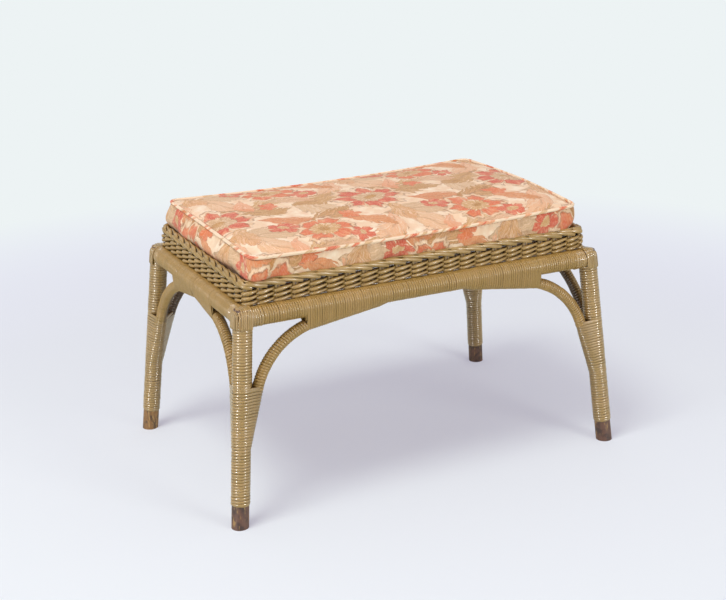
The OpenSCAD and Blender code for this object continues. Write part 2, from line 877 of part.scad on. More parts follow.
leg(front, left);  // leg_front_left
leg(front, right);  // leg_front_right
leg(back, left);  // leg_back_left
leg(back, right);  // leg_back_right
long_rail(front);  // rail_front
long_rail(back);  // rail_back
short_rail(left);  // rail_left
short_rail(right);  // rail_right
brace_long(front, left);  // brace_front_left_long
brace_long(front, right);  // brace_front_right_long
brace_long(back, left);  // brace_back_left_long
brace_long(back, right);  // brace_back_right_long
brace_short(front, left);  // brace_front_left_short
brace_short(front, right);  // brace_front_right_short
brace_short(back, left);  // brace_back_left_short
brace_short(back, right);  // brace_back_right_short
leg_wrap_lower(front, left);  // leg_wrap_lower_front_left
leg_wrap_lower(front, right);  // leg_wrap_lower_front_right
leg_wrap_lower(back, left);  // leg_wrap_lower_back_left
leg_wrap_lower(back, right);  // leg_wrap_lower_back_right
leg_wrap_upper(front, left);  // leg_wrap_upper_front_left
leg_wrap_upper(front, right);  // leg_wrap_upper_front_right
leg_wrap_upper(back, left);  // leg_wrap_upper_back_left
leg_wrap_upper(back, right);  // leg_wrap_upper_back_right
brace_wrap(front, left, true);  // brace_wrap_front_left_long
brace_wrap(front, right, true);  // brace_wrap_front_right_long
brace_wrap(back, left, true);  // brace_wrap_back_left_long
brace_wrap(back, right, true);  // brace_wrap_back_right_long
brace_wrap(front, left, false);  // brace_wrap_front_left_short
brace_wrap(front, right, false);  // brace_wrap_front_right_short
brace_wrap(back, left, false);  // brace_wrap_back_left_short
brace_wrap(back, right, false);  // brace_wrap_back_right_short
long_rail_wrap(front);  // rail_wrap_front
long_rail_wrap(back);  // rail_wrap_back
short_rail_wrap(left);  // rail_wrap_left
short_rail_wrap(right);  // rail_wrap_right
corner_binding(front, left);  // corner_binding_front_left
corner_binding(front, right);  // corner_binding_front_right
corner_binding(back, left);  // corner_binding_back_left
corner_binding(back, right);  // corner_binding_back_right
brace_nails();
ledger_nail_set();  // ledger_nails
seat_ledgers();
seat_canes();
seat_mat();
collar_stakes();
collar_weave();
collar_border();
cushion_filling();
cushion_top_panel();
cushion_side_band();
cushion_bottom_panel();
cushion_top_welt();
cushion_bottom_welt();
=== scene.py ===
import math
import bpy
import numpy as np
from mathutils import Vector, Matrix
from mathutils.bvhtree import BVHTree
from mathutils.kdtree import KDTree


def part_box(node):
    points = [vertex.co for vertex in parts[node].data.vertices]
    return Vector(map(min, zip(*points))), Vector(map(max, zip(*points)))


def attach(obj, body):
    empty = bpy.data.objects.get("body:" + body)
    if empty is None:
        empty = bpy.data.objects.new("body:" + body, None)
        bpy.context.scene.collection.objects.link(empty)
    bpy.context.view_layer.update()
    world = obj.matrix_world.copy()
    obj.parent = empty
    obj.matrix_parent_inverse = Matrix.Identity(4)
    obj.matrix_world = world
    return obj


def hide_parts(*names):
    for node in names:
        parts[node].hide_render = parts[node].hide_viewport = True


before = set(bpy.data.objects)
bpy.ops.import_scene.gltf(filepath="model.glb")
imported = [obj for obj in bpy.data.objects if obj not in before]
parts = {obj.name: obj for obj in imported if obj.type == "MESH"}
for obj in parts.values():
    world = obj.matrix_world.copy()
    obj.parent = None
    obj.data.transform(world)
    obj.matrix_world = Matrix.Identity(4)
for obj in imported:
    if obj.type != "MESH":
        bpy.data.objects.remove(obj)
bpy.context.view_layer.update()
mm = 0.001
corners = [(-1, -1), (1, -1), (-1, 1), (1, 1)]


# Small helpers

def colour(code):
    # sRGB hex to the linear colour that the sockets take
    shares = [int(code[i:i + 2], 16) / 255 for i in (1, 3, 5)]
    return tuple(c / 12.92 if c <= 0.04045 else ((c + 0.055) / 1.055) ** 2.4 for c in shares) + (1.0,)


def fill(node, *values, **named):
    # live inputs in order, then inputs by name, each with a value, a colour code, a socket or a node
    live = [socket for socket in node.inputs if socket.enabled]
    named = [(node.inputs[key.replace("_", " ")], value) for key, value in named.items()]
    for socket, value in list(zip(live, values)) + named:
        if isinstance(value, bpy.types.Node):
            value = next(output for output in value.outputs if output.enabled)
        if isinstance(value, bpy.types.NodeSocket):
            node.id_data.links.new(value, socket)
        else:
            socket.default_value = colour(value) if str(value).startswith("#") else value


modeNames = {
    "Math": "operation", "VectorMath": "operation", "Mix": "data_type", "MapRange": "interpolation_type",
}


def adder(tree):
    # one node: its kind and mode, or a Math operation alone, then settings in small letters, and inputs
    def add(kind, *values, **given):
        kind, _, mode = ("Math " + kind if kind.isupper() else kind).partition(" ")
        node = tree.nodes.new(kind if "Node" in kind else "ShaderNode" + kind)
        if mode:
            setattr(node, modeNames[kind], mode)
        for key in [key for key in given if key[0].islower()]:
            setattr(node, key, given.pop(key))
        fill(node, *values, **given)
        return node
    return add


def newFinish(name):
    finish = bpy.data.materials.new(name)
    finish.use_nodes = True
    return finish, adder(finish.node_tree), finish.node_tree.nodes["Principled BSDF"]


def newObject(name, data):
    thing = bpy.data.objects.new(name, data)
    bpy.context.scene.collection.objects.link(thing)
    return thing


def hold(piece, body, slot, *nodes):
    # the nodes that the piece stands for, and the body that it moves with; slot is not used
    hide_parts(*nodes)
    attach(piece, body)


def unit(v):
    return v / np.linalg.norm(v, axis=-1, keepdims=True)


# Camera: the photograph was taken with a long lens from the front left, a little above

cameraSettings = {
    "position": (-0.98379, -1.96758, 0.98660), "target": (0.0, 0.0, 0.22),
    "lens": 69.32, "roll": math.radians(-0.983), "shift": (-0.01167, 0.01563),
}


def makeCamera(s):
    data = bpy.data.cameras.new("camera")
    data.lens = s["lens"]
    data.sensor_width = 36
    data.shift_x, data.shift_y = s["shift"]
    data.clip_end = 60
    camera = newObject("camera", data)
    back = (Vector(s["position"]) - Vector(s["target"])).normalized()
    right = Vector((0, 0, 1)).cross(back).normalized()
    up = back.cross(right)
    sway, rise = math.sin(s["roll"]), math.cos(s["roll"])
    pose = Matrix((right * rise + up * sway, up * rise - right * sway, back)).transposed().to_4x4()
    pose.translation = s["position"]
    camera.matrix_world = pose
    bpy.context.scene.camera = camera


makeCamera(cameraSettings)
print("camera placed")

# Studio: a pale floor, a soft key from the upper left, and a pale world

studioSettings = {
    "floorColours": ("#EFFAF1", "#F0FAF2"), "floorHalf": 12.0, "paperColour": "#EDF3F4",
    "nearShadowGlow": "#DDD6F8", "skyTint": "#FBF4F8", "skyLight": 0.52,
    "lights": (  # name, place, size, power
        ("keyLight", (-1.4, -0.62, 3.3), 1.2, 54.0),
        ("fillLight", (1.0, -2.5, 1.8), 1.0, 18.0),
        ("leftFill", (-2.6, -0.5, 1.4), 1.1, 10.0),
        ("sparkLeft", (-2.4, -0.84, 0.6), 0.36, 38.0),
        ("sparkRight", (0.97, -2.4, 0.6), 0.36, 36.0),
    ),
    # the paper shows its own tone far from the stool, and partly under it, where the shadow falls; near the
    # stool a lavender glow is mixed in, which lifts and tints the shadow as painted light
    "clearFrom": 0.55, "clearTo": 1.7, "nearShare": 0.35,
}


def areaLight(name, place, size, power):
    data = bpy.data.lights.new(name, "AREA")
    data.size = size
    data.energy = power
    light = newObject(name, data)
    light.location = place
    light.rotation_euler = (Vector((0, 0, 0.2)) - Vector(place)).to_track_quat("-Z", "Y").to_euler()
    # the two small lamps only put the glints on the glossy paint
    light.visible_diffuse = not name.startswith("spark")
    light.visible_camera = False


def makeStudio(s):
    scene = bpy.context.scene
    scene.view_settings.view_transform = "Standard"
    scene.world = bpy.data.worlds.new("studio")
    scene.world.use_nodes = True
    scene.world.node_tree.nodes.clear()
    add = adder(scene.world.node_tree)
    path = add("LightPath").outputs
    seen = add("MAXIMUM", path["Is Camera Ray"], path["Is Glossy Ray"])
    seen = add("MAXIMUM", seen, path["Is Transmission Ray"])
    light = add("Background", s["skyTint"], s["skyLight"])
    add("OutputWorld", add("MixShader", seen, light, add("Background", s["paperColour"], 1.0)))
    for lamp in s["lights"]:
        areaLight(*lamp)

    mesh = bpy.data.meshes.new("floor")
    edge = s["floorHalf"]
    square = [(-edge, -edge, 0), (edge, -edge, 0), (edge, edge, 0), (-edge, edge, 0)]
    mesh.from_pydata(square, [], [(0, 1, 2, 3)])
    floor = newObject("floor", mesh)
    paper, add, shader = newFinish("pale_studio_paper")
    grain = add("TexNoise", Scale=3.0, Detail=2.0)
    fill(shader, Base_Color=add("Mix RGBA", grain, *s["floorColours"]), Roughness=0.9)
    reach = add("VectorMath LENGTH", add("TexCoord").outputs["Object"])
    share = add("MapRange SMOOTHSTEP", reach, s["clearFrom"], s["clearTo"], s["nearShare"], 1.0)
    seen = add("MULTIPLY", share, add("LightPath").outputs["Is Camera Ray"])
    far = add("MapRange", reach, s["clearFrom"], s["clearTo"])
    glow = add("Emission", add("Mix RGBA", far, s["nearShadowGlow"], s["paperColour"]), 1.0)
    fill(paper.node_tree.nodes["Material Output"], add("MixShader", seen, shader, glow))
    mesh.materials.append(paper)


makeStudio(studioSettings)
print("studio ready")

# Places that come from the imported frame, in metres

railLow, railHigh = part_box("rail_front")
legLow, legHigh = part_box("leg_front_left")
sideLow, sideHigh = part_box("rail_left")
railZ = (railLow.z + railHigh.z) / 2
halfDepth = -(railLow.y + railHigh.y) / 2
halfLength = -(sideLow.x + sideHigh.x) / 2
legTopZ = legHigh.z
legRadius = 13.2 * mm
footX = -legLow.x - legRadius
footY = -legLow.y - legRadius
leanX, leanY = math.atan2(footX - halfLength, legTopZ), math.atan2(footY - halfDepth, legTopZ)
bindingEdge = 25 * mm

# The bent braces, in the plane of a leg and a rail: x along the rail from the leg, z up from the leg's top

braceLine = {
    "radius": 7.25 * mm, "gap": 4.2 * mm, "drop": 41.3 * mm, "bendRadius": 124 * mm,
    "wrapRadius": 8.95 * mm, "seamAngle": math.radians(73.4), "flare": math.radians(12),
}


def along(angle):
    return np.array([math.sin(angle), math.cos(angle)])


def across(angle):
    return np.array([math.cos(angle), -math.sin(angle)])


def footPoint(lean):
    # where a brace leaves the leg, a fixed distance off the leg's axis
    s = braceLine
    drop = s["drop"] + s["bendRadius"] * (math.sin(s["seamAngle"]) - math.sin(lean + s["flare"]))
    stand = legRadius + s["gap"] + s["radius"]
    return np.array([(stand - drop * math.sin(lean)) / math.cos(lean), -drop])


def bendCentre(lean):
    return footPoint(lean) + braceLine["bendRadius"] * across(lean + braceLine["flare"])


def railReach(lean):
    return (bendCentre(lean) - braceLine["bendRadius"] * across(braceLine["seamAngle"]))[0]


legSeamZ = legTopZ + footPoint(leanX)[1] + 0.8 * braceLine["wrapRadius"]
bareFoot = 35 * mm


def skinOf(name):
    # the outer faces of a CAD node, for finding how far a wrap stands off its pole
    mesh = parts[name].data
    faces = [list(p.vertices) for p in mesh.polygons]
    return BVHTree.FromPolygons([v.co.copy() for v in mesh.vertices], faces)


def straightSpine(low, high):
    low, high = np.array(low), np.array(high)
    direction = unit(high - low)
    side = unit(np.cross(direction, [0.0, 0.0, 1.0] if abs(direction[2]) < 0.9 else [0.0, 1.0, 0.0]))

    def spine(station):
        return low + direction * station, direction, side
    return spine


def braceSpine(cornerX, cornerY, longSide):
    origin = np.array([cornerX * halfLength, cornerY * halfDepth, legTopZ])
    if longSide:
        inward, lean = np.array([-cornerX, 0, 0]), leanX
        up = np.array([0, -cornerY * math.sin(leanY), math.cos(leanY)])
    else:
        inward, lean = np.array([0, -cornerY, 0]), leanY
        up = np.array([-cornerX * math.sin(leanX), 0, math.cos(leanX)])
    first = lean + braceLine["flare"]

    def spine(station):
        # station 0 is the top of the foot run, and the bend ends at the rail seam
        if station < 0:
            flat, angle = footPoint(lean) + station * along(first), first
        else:
            angle = first + station / braceLine["bendRadius"]
            flat = bendCentre(lean) - braceLine["bendRadius"] * across(angle)
        direction = inward * math.sin(angle) + up * math.cos(angle)
        return origin + inward * flat[0] + up * flat[1], direction, unit(np.cross(inward, up))
    return spine, braceLine["bendRadius"] * (braceLine["seamAngle"] - first)


# Reed sweep: Geometry Nodes turn a path with an outward direction into a flat oval reed

def reedSweep():
    tree = bpy.data.node_groups.new("reedSweep", "GeometryNodeTree")
    for name, kind in (("Paths", "Geometry"), ("Reed Width", "Float"), ("Reed Thickness", "Float"),
                       ("Sides", "Int"), ("Finish", "Material")):
        tree.interface.new_socket(name, in_out="INPUT", socket_type="NodeSocket" + kind)
    tree.interface.new_socket("Reed", in_out="OUTPUT", socket_type="NodeSocketGeometry")
    add = adder(tree)
    given = add("NodeGroupInput").outputs
    outward = add("GeometryNodeInputNamedAttribute", data_type="FLOAT_VECTOR", Name="outward")
    girth = add("GeometryNodeInputNamedAttribute", data_type="FLOAT", Name="girth")
    facing = add("GeometryNodeSetCurveNormal", add("GeometryNodeMeshToCurve", given["Paths"]), mode="FREE",
                 Normal=outward)
    circle = add("GeometryNodeCurvePrimitiveCircle", Resolution=given["Sides"], Radius=0.5)
    rim = add("GeometryNodeStoreNamedAttribute", circle, data_type="FLOAT_VECTOR", domain="POINT", Name="rim",
              Value=add("GeometryNodeInputPosition"))
    size = add("CombineXYZ", given["Reed Thickness"], given["Reed Width"], 1.0)
    profile = add("GeometryNodeTransform", rim, Scale=size)
    sweep = add("GeometryNodeCurveToMesh", facing, Profile_Curve=profile, Scale=girth, Fill_Caps=True)
    real = add("GeometryNodeRealizeInstances", add("GeometryNodeSetShadeSmooth", sweep))
    add("NodeGroupOutput", Reed=add("GeometryNodeSetMaterial", real, Material=given["Finish"]))
    return tree


reedTree = reedSweep()


def plainMesh(piece, finish):
    # the evaluated result of the piece's modifiers, as a plain mesh with one material
    bpy.context.view_layer.update()
    evaluated = piece.evaluated_get(bpy.context.evaluated_depsgraph_get())
    mesh = bpy.data.meshes.new_from_object(evaluated)
    piece.modifiers.clear()
    old = piece.data
    piece.data = mesh
    bpy.data.meshes.remove(old)
    mesh.name = piece.name
    mesh.materials.clear()
    mesh.materials.append(finish)


def reedPiece(name, paths, width, thickness, finish, sides=8):
    # paths: dictionaries with points, outward, and optional closed, shade, painted inner shade, girth and
    # offset
    points, edges = [], []
    layers = {"outward": [], "shade": [], "innerShade": [], "girth": [], "run": []}
    for path in paths:
        count, start = len(path["points"]), len(points)
        points += [tuple(p) for p in path["points"]]
        layers["outward"] += [tuple(p) for p in path["outward"]]
        for key, usual in (("shade", 0.5), ("innerShade", 0.0), ("girth", 1.0)):
            layers[key] += list(np.broadcast_to(path.get(key, usual), count))
        steps = np.linalg.norm(np.diff(np.array(path["points"]), axis=0), axis=1)
        layers["run"] += list(np.concatenate([[0], np.cumsum(steps)]) + path.get("offset", 0.0))
        edges += [(start + i, start + i + 1) for i in range(count - 1)]
        if path.get("closed"):
            edges.append((start + count - 1, start))
    mesh = bpy.data.meshes.new(name)
    mesh.from_pydata(points, edges, [])
    for key, values in layers.items():
        kind, field = ("FLOAT_VECTOR", "vector") if key == "outward" else ("FLOAT", "value")
        layer = mesh.attributes.new(key, kind, "POINT")
        layer.data.foreach_set(field, np.array(values, dtype=np.float32).ravel())
    piece = newObject(name, mesh)
    sweep = piece.modifiers.new("reedSweep", "NODES")
    sweep.node_group = reedTree
    sockets = {s.name: s.identifier for s in reedTree.interface.items_tree if s.in_out == "INPUT"}
    for key, value in (("Reed Width", width), ("Reed Thickness", thickness), ("Sides", sides),
                       ("Finish", finish)):
        sweep[sockets[key]] = value
    plainMesh(piece, finish)
    for key in ("outward", "girth"):
        layer = piece.data.attributes.get(key)
        if layer:
            piece.data.attributes.remove(layer)
    print(name, len(piece.data.polygons), "faces")
    return piece


# Materials

# the two darkest colours are painted shade, one for the creases between turns and one for the runs inside and
# the sides turned inward
reedLook = {
    "light": "#B08B50", "middle": "#9A7A3A", "dark": "#7D5D2A", "crease": "#553A1D", "innerShade": "#3D2217",
    "roughness": 0.36, "creaseShare": 0.22, "coat": 1.0,
}


def paintedReed(name, **changes):
    # reed under one coat of khaki paint, semi-gloss, with fibres that show through and creases darkened brown
    # as painted shade
    s = dict(reedLook, **changes)
    finish, add, shader = newFinish(name)
    shade, run, innerShade, rim = [add("Attribute", attribute_name=key) for key in ("shade", "run", "innerShade", "rim")]
    sideways = add("SeparateXYZ", rim.outputs["Vector"]).outputs["Y"]
    place = add("TexCoord").outputs["Object"]
    # fibres run along the reed, about half a millimetre apart
    stretched = add("CombineXYZ", run.outputs["Fac"], sideways, shade.outputs["Fac"])
    fibre = add("TexNoise", add("Mapping", stretched, Scale=(60.0, 9.0, 40.0)), Scale=1.0, Detail=3.0)
    blotch = add("TexNoise", place, Scale=34.0, Detail=3.0)
    speck = add("TexNoise", place, Scale=420.0, Detail=2.0)
    paint = add("Mix RGBA", shade.outputs["Fac"], s["middle"], s["light"])
    paint = add("Mix RGBA", add("MapRange", fibre, 0.5, 0.75, 0.0, 0.45), paint, s["dark"])
    paint = add("Mix RGBA", add("MapRange", blotch, 0.42, 0.7, 0.0, 0.4), paint, s["middle"])
    # the sides of the reed, down in the creases between turns, are darkened brown as painted shade; the outer
    # face stays clean
    creaseShadeMask = add("MapRange", add("ABSOLUTE", sideways), 0.37, 0.47, 0.0, s["creaseShare"])
    paint = add("Mix RGBA", creaseShadeMask, paint, s["crease"])
    # painted shade darkens the runs that pass inside the wall and the roll, and the sides turned inward
    paint = add("Mix RGBA", innerShade.outputs["Fac"], paint, s["innerShade"])
    gloss = add("MapRange", speck, 0.3, 0.7, s["roughness"] - 0.08, s["roughness"] + 0.16)
    fine = add("Bump", Strength=0.35, Distance=0.0004, Height=fibre)
    pits = add("Bump", Strength=0.3, Distance=0.0003, Height=speck, Normal=fine)
    # the paint is semi-gloss: a thin clear skin gives each turn its small bright spot
    fill(shader, Base_Color=paint, Roughness=gloss, Normal=pits, Coat_Weight=s["coat"], Coat_Roughness=0.13)
    return finish


wrapFinish = paintedReed("khaki_painted_reed_wrap")
satinFinish = paintedReed("khaki_painted_satin_reed", coat=0.12)
collarFinish = paintedReed("khaki_painted_collar_reed", light="#B69358", creaseShare=0.12, coat=0.28)
# the stakes are coloured dark brown as painted shade in the gaps of the weave
stakeFinish = paintedReed("shaded_stake_reed", middle="#6B4D2A", light="#7A5A33", dark="#4E371C")


def wornPole(name, light, dark, stain, scratches):
    # round pole wood: long grain, darker pores, and a scuffed dark stain
    finish, add, shader = newFinish(name)
    place = add("TexCoord").outputs["Object"]
    upGrain = add("Mapping", place, Scale=(240.0, 240.0, 14.0))
    grain = add("TexNoise", upGrain, Scale=1.0, Detail=4.0, Roughness=0.6)
    scuff = add("TexNoise", place, Scale=90.0, Detail=4.0)
    wood = add("Mix RGBA", grain, dark, light)
    wood = add("Mix RGBA", add("MapRange", scuff, 0.45, 0.62, 0.0, 0.8), wood, stain)
    # scratches run up the grain and show the pale wood under the finish
    scratch = add("TexNoise", add("Mapping", place, Scale=(330.0, 330.0, 55.0)), Scale=1.0, Detail=2.0)
    wood = add("Mix RGBA", add("MapRange", scratch, 0.6, 0.68, 0.0, 0.7), wood, scratches)
    ridges = add("Bump", Strength=0.4, Distance=0.0005, Height=grain)
    fill(shader, Base_Color=wood, Roughness=0.5, Normal=ridges)
    return finish


poleFinish = wornPole("worn_oiled_hardwood", "#7A5240", "#4A2E26", "#35211D", "#B08A50")
backPoleFinish = wornPole("worn_honey_hardwood", "#A87A45", "#6E4A28", "#4A3020", "#C9A062")
caneFinish = wornPole("natural_cane", "#CDB083", "#A88757", "#8C6A3F", "#D8C093")


def wireNail():
    # bright drawn steel, faintly uneven
    finish, add, shader = newFinish("bright_wire_steel")
    drawn = add("TexNoise", add("TexCoord").outputs["Object"], Scale=900.0, Detail=2.0)
    fill(shader, Base_Color=add("Mix RGBA", drawn, "#8C8C90", "#B9B9BC"), Metallic=1.0, Roughness=0.35)
    return finish


def wovenMat(pitch):
    # flat reed, woven one over one: each crossing is a crowned tile that turns by a right angle
    finish, add, shader = newFinish("woven_flat_reed")
    place = add("TexCoord").outputs["Object"]
    cells = add("SeparateXYZ", add("Mapping", place, Scale=(1 / pitch,) * 3)).outputs
    edges = [add("PINGPONG", cells[k], 0.5) for k in (0, 1)]
    over = add("FLOORED_MODULO", add("ADD", *[add("FLOOR", cells[k]) for k in (0, 1)]), 2.0)
    side = add("MapRange", add("Mix", over, edges[1], edges[0]), 0.02, 0.16)
    crown = add("MapRange", add("Mix", over, *edges), 0.0, 0.5, 0.25, 1.0)
    height = add("MULTIPLY", side, crown)
    reed = add("Mix RGBA", add("TexNoise", place, Scale=160.0, Detail=4.0), "#7F6238", "#B3935C")
    # the low edges of each tile, where the reeds dip under, are darkened as painted shade
    fill(shader, Base_Color=add("Mix RGBA", height, "#2E1D10", reed), Roughness=0.45,
         Normal=add("Bump", Strength=0.8, Distance=0.001, Height=height))
    return finish


nailFinish = wireNail()
matFinish = wovenMat(8 * mm)


def dress(name, finish):
    mesh = parts[name].data
    mesh.materials.clear()
    mesh.materials.append(finish)


railPoles = ("rail_front", "rail_back", "rail_left", "rail_right")
for name in parts:
    if name.startswith(("leg_front", "leg_back")) or name in railPoles:
        dress(name, backPoleFinish if name == "leg_back_left" else poleFinish)
    elif name.startswith(("brace_front", "brace_back")) or name in ("seat_ledgers", "seat_canes"):
        dress(name, caneFinish)
    elif name.endswith("nails"):
        dress(name, nailFinish)
    elif name == "collar_stakes":
        dress(name, stakeFinish)
    elif name == "seat_mat":
        dress(name, matFinish)
print("frame dressed")

# Reed wraps: each one is a helix that lies on the CAD sleeve

wrapReed = {
    "legPitch": 4.5 * mm, "railPitch": 3.85 * mm, "bracePitch": 4.1 * mm, "thickness": 2.1 * mm,
    "overlap": 1.06, "stepsPerTurn": 30, "crackEvery": 20, "crackWidth": 0.5 * mm, "poleRadius": 14.9 * mm,
    # where the ray that looks for the sleeve starts, and how far it goes
    "sight": 60 * mm, "reach": 54 * mm,
    # how unevenly the turns lie, along the pole and off it, and how deep the end turns are pressed in
    "pitchSpread": 0.05, "liftSpread": 0.12 * mm, "endSink": 0.35 * mm,
}


def windReed(spine, skin, start, end, pitch, rng, inner=(0, 0, 0), cracks=False, closeEnds=False,
             bareRadius=None):
    s = wrapReed
    turns = max(1, round((end - start) / pitch))
    gaps = pitch * (1 + s["pitchSpread"] * rng.standard_normal(turns))
    if cracks:
        wide = rng.random(turns) < 1 / s["crackEvery"]
        gaps = gaps + wide * s["crackWidth"] * (0.6 + 0.6 * rng.random(turns))
    stops = np.concatenate([[0], np.cumsum(gaps)])
    stops = start + stops * (end - start) / stops[-1]
    if closeEnds:
        # the reed goes once round on the spot before it climbs, and once more at the end
        stops = np.concatenate([[start], stops, [end]])
        turns += 2
    count = turns * s["stepsPerTurn"] + 1
    t = np.linspace(0, turns, count)
    stations = np.interp(t, np.arange(turns + 1), stops)
    lift = np.interp(t, np.arange(turns + 1), rng.standard_normal(turns + 1)) * s["liftSpread"]
    if closeEnds:
        lift = lift - s["endSink"] * ((t < 0.97) | (t > turns - 0.97))
    phase = rng.random() * 2 * math.pi
    points, outward = [], []
    for k in range(count):
        centre, direction, side = spine(stations[k])
        angle = phase + 2 * math.pi * t[k]
        ray = side * math.cos(angle) + np.cross(direction, side) * math.sin(angle)
        # near a slanted rim the ray passes over the sleeve, so it looks a little further in
        for step in (0, 3 * mm, 6 * mm, 9 * mm):
            sunk = centre + direction * step * (1 if stations[k] < (start + end) / 2 else -1)
            eye = Vector(sunk + ray * s["sight"])
            hit, normal, index, distance = skin.ray_cast(eye, Vector(-ray), s["reach"])
            if hit:
                break
        radius = s["sight"] - distance if hit else bareRadius or s["poleRadius"]
        points.append(centre + ray * (radius - s["thickness"] / 2 + lift[k]))
        outward.append(ray)
    # inner points to the side that gets painted shade, darker brown, and its length says how dark
    sideShade = np.clip(np.array(outward) @ np.array(inner), 0, 0.9)
    slow = np.interp(t, np.linspace(0, turns, 6), rng.random(6))
    quick = np.repeat(rng.random(turns + 1), s["stepsPerTurn"])[:count]
    return dict(points=np.array(points), outward=np.array(outward), innerShade=sideShade,
                shade=np.clip(0.15 + 0.45 * slow + 0.5 * (quick - 0.3), 0, 1), offset=rng.random() * 9)


def wrapPiece(name, paths, pitch, finish, *nodes):
    piece = reedPiece(name, paths, pitch * wrapReed["overlap"], wrapReed["thickness"], finish)
    hold(piece, "frame", "reed_wrap", *nodes)


def cornerName(cornerX, cornerY):
    return ("front" if cornerY < 0 else "back") + "_" + ("left" if cornerX < 0 else "right")


def wrapLegs():
    rng = np.random.default_rng(11)
    pitch = wrapReed["legPitch"]
    for cornerX, cornerY in corners:
        corner = cornerName(cornerX, cornerY)
        foot = (cornerX * footX, cornerY * footY, 0.0)
        top = (cornerX * halfLength, cornerY * halfDepth, legTopZ)
        slope = np.linalg.norm(np.array(top) - np.array(foot)) / legTopZ
        seam = legSeamZ * slope
        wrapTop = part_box("leg_wrap_upper_" + corner)[1].z + 13 * mm
        # the side of the leg towards the middle of the stool gets painted shade
        inner = (-0.27 * cornerX, -0.13 * cornerY, 0)
        nodes = ["leg_wrap_lower_" + corner, "leg_wrap_upper_" + corner]
        spans = ((bareFoot * slope + 2.3 * mm, seam - 2.2 * mm), (seam + 1.4 * mm, wrapTop * slope))
        spine = straightSpine(foot, top)
        paths = [windReed(spine, skinOf(node), low, high, pitch, rng, inner, closeEnds=True)
                 for node, (low, high) in zip(nodes, spans)]
        wrapPiece("leg_reed_" + corner, paths, pitch, wrapFinish, *nodes)


def wrapBraces():
    rng = np.random.default_rng(12)
    pitch = wrapReed["bracePitch"]
    for cornerX, cornerY in corners:
        corner = cornerName(cornerX, cornerY)
        nodes = ["brace_wrap_" + corner + end for end in ("_long", "_short")]
        paths = []
        # the inward sides of the braces get painted shade
        for node, inner in zip(nodes, ((0, -1.0 * cornerY, 0), (-1.1 * cornerX, 0, 0))):
            spine, bend = braceSpine(cornerX, cornerY, node.endswith("long"))
            paths.append(windReed(spine, skinOf(node), -2 * mm, bend + 1 * mm, pitch, rng, inner,
                                  bareRadius=braceLine["wrapRadius"]))
        wrapPiece("brace_reed_" + corner, paths, pitch, satinFinish, *nodes)


def wrapRails():
    rng = np.random.default_rng(13)
    pitch = wrapReed["railPitch"]
    for name, side in (("front", -1), ("back", 1), ("left", -1), ("right", 1)):
        if name in ("front", "back"):
            half, reach = halfLength, railReach(leanX)
            low, high = [(end * half, side * halfDepth, railZ) for end in (-1, 1)]
        else:
            half, reach = halfDepth, railReach(leanY)
            low, high = [(side * halfLength, end * half, railZ) for end in (-1, 1)]
        skin = skinOf("rail_wrap_" + name)
        spans = ((bindingEdge, reach - 1 * mm), (reach + 1 * mm, 2 * half - reach - 1 * mm),
                 (2 * half - reach + 1 * mm, 2 * half - bindingEdge))
        paths = [windReed(straightSpine(low, high), skin, a, b, pitch, rng, cracks=True, closeEnds=True)
                 for a, b in spans]
        wrapPiece("rail_reed_" + name, paths, pitch, satinFinish, "rail_wrap_" + name)


wrapLegs()
wrapBraces()
wrapRails()
print("wraps wound")

# Corner bindings: upright strands capped over the leg top, then a few thick turns at the neck of each rail

binding = {
    "strand": (3.4 * mm, 2.4 * mm), "capRadius": 15.0 * mm, "capTop": 333.4 * mm,
    "capFoot": 304.0 * mm, "strands": 8, "firstStrand": -11.6 * mm, "strandStep": 2.9 * mm,
    "neckReed": (4.3 * mm, 3.0 * mm), "neckStart": 10.2 * mm, "neckStep": 3.6 * mm, "neckTurns": 5,
    "neckRadius": 14.4 * mm,
}


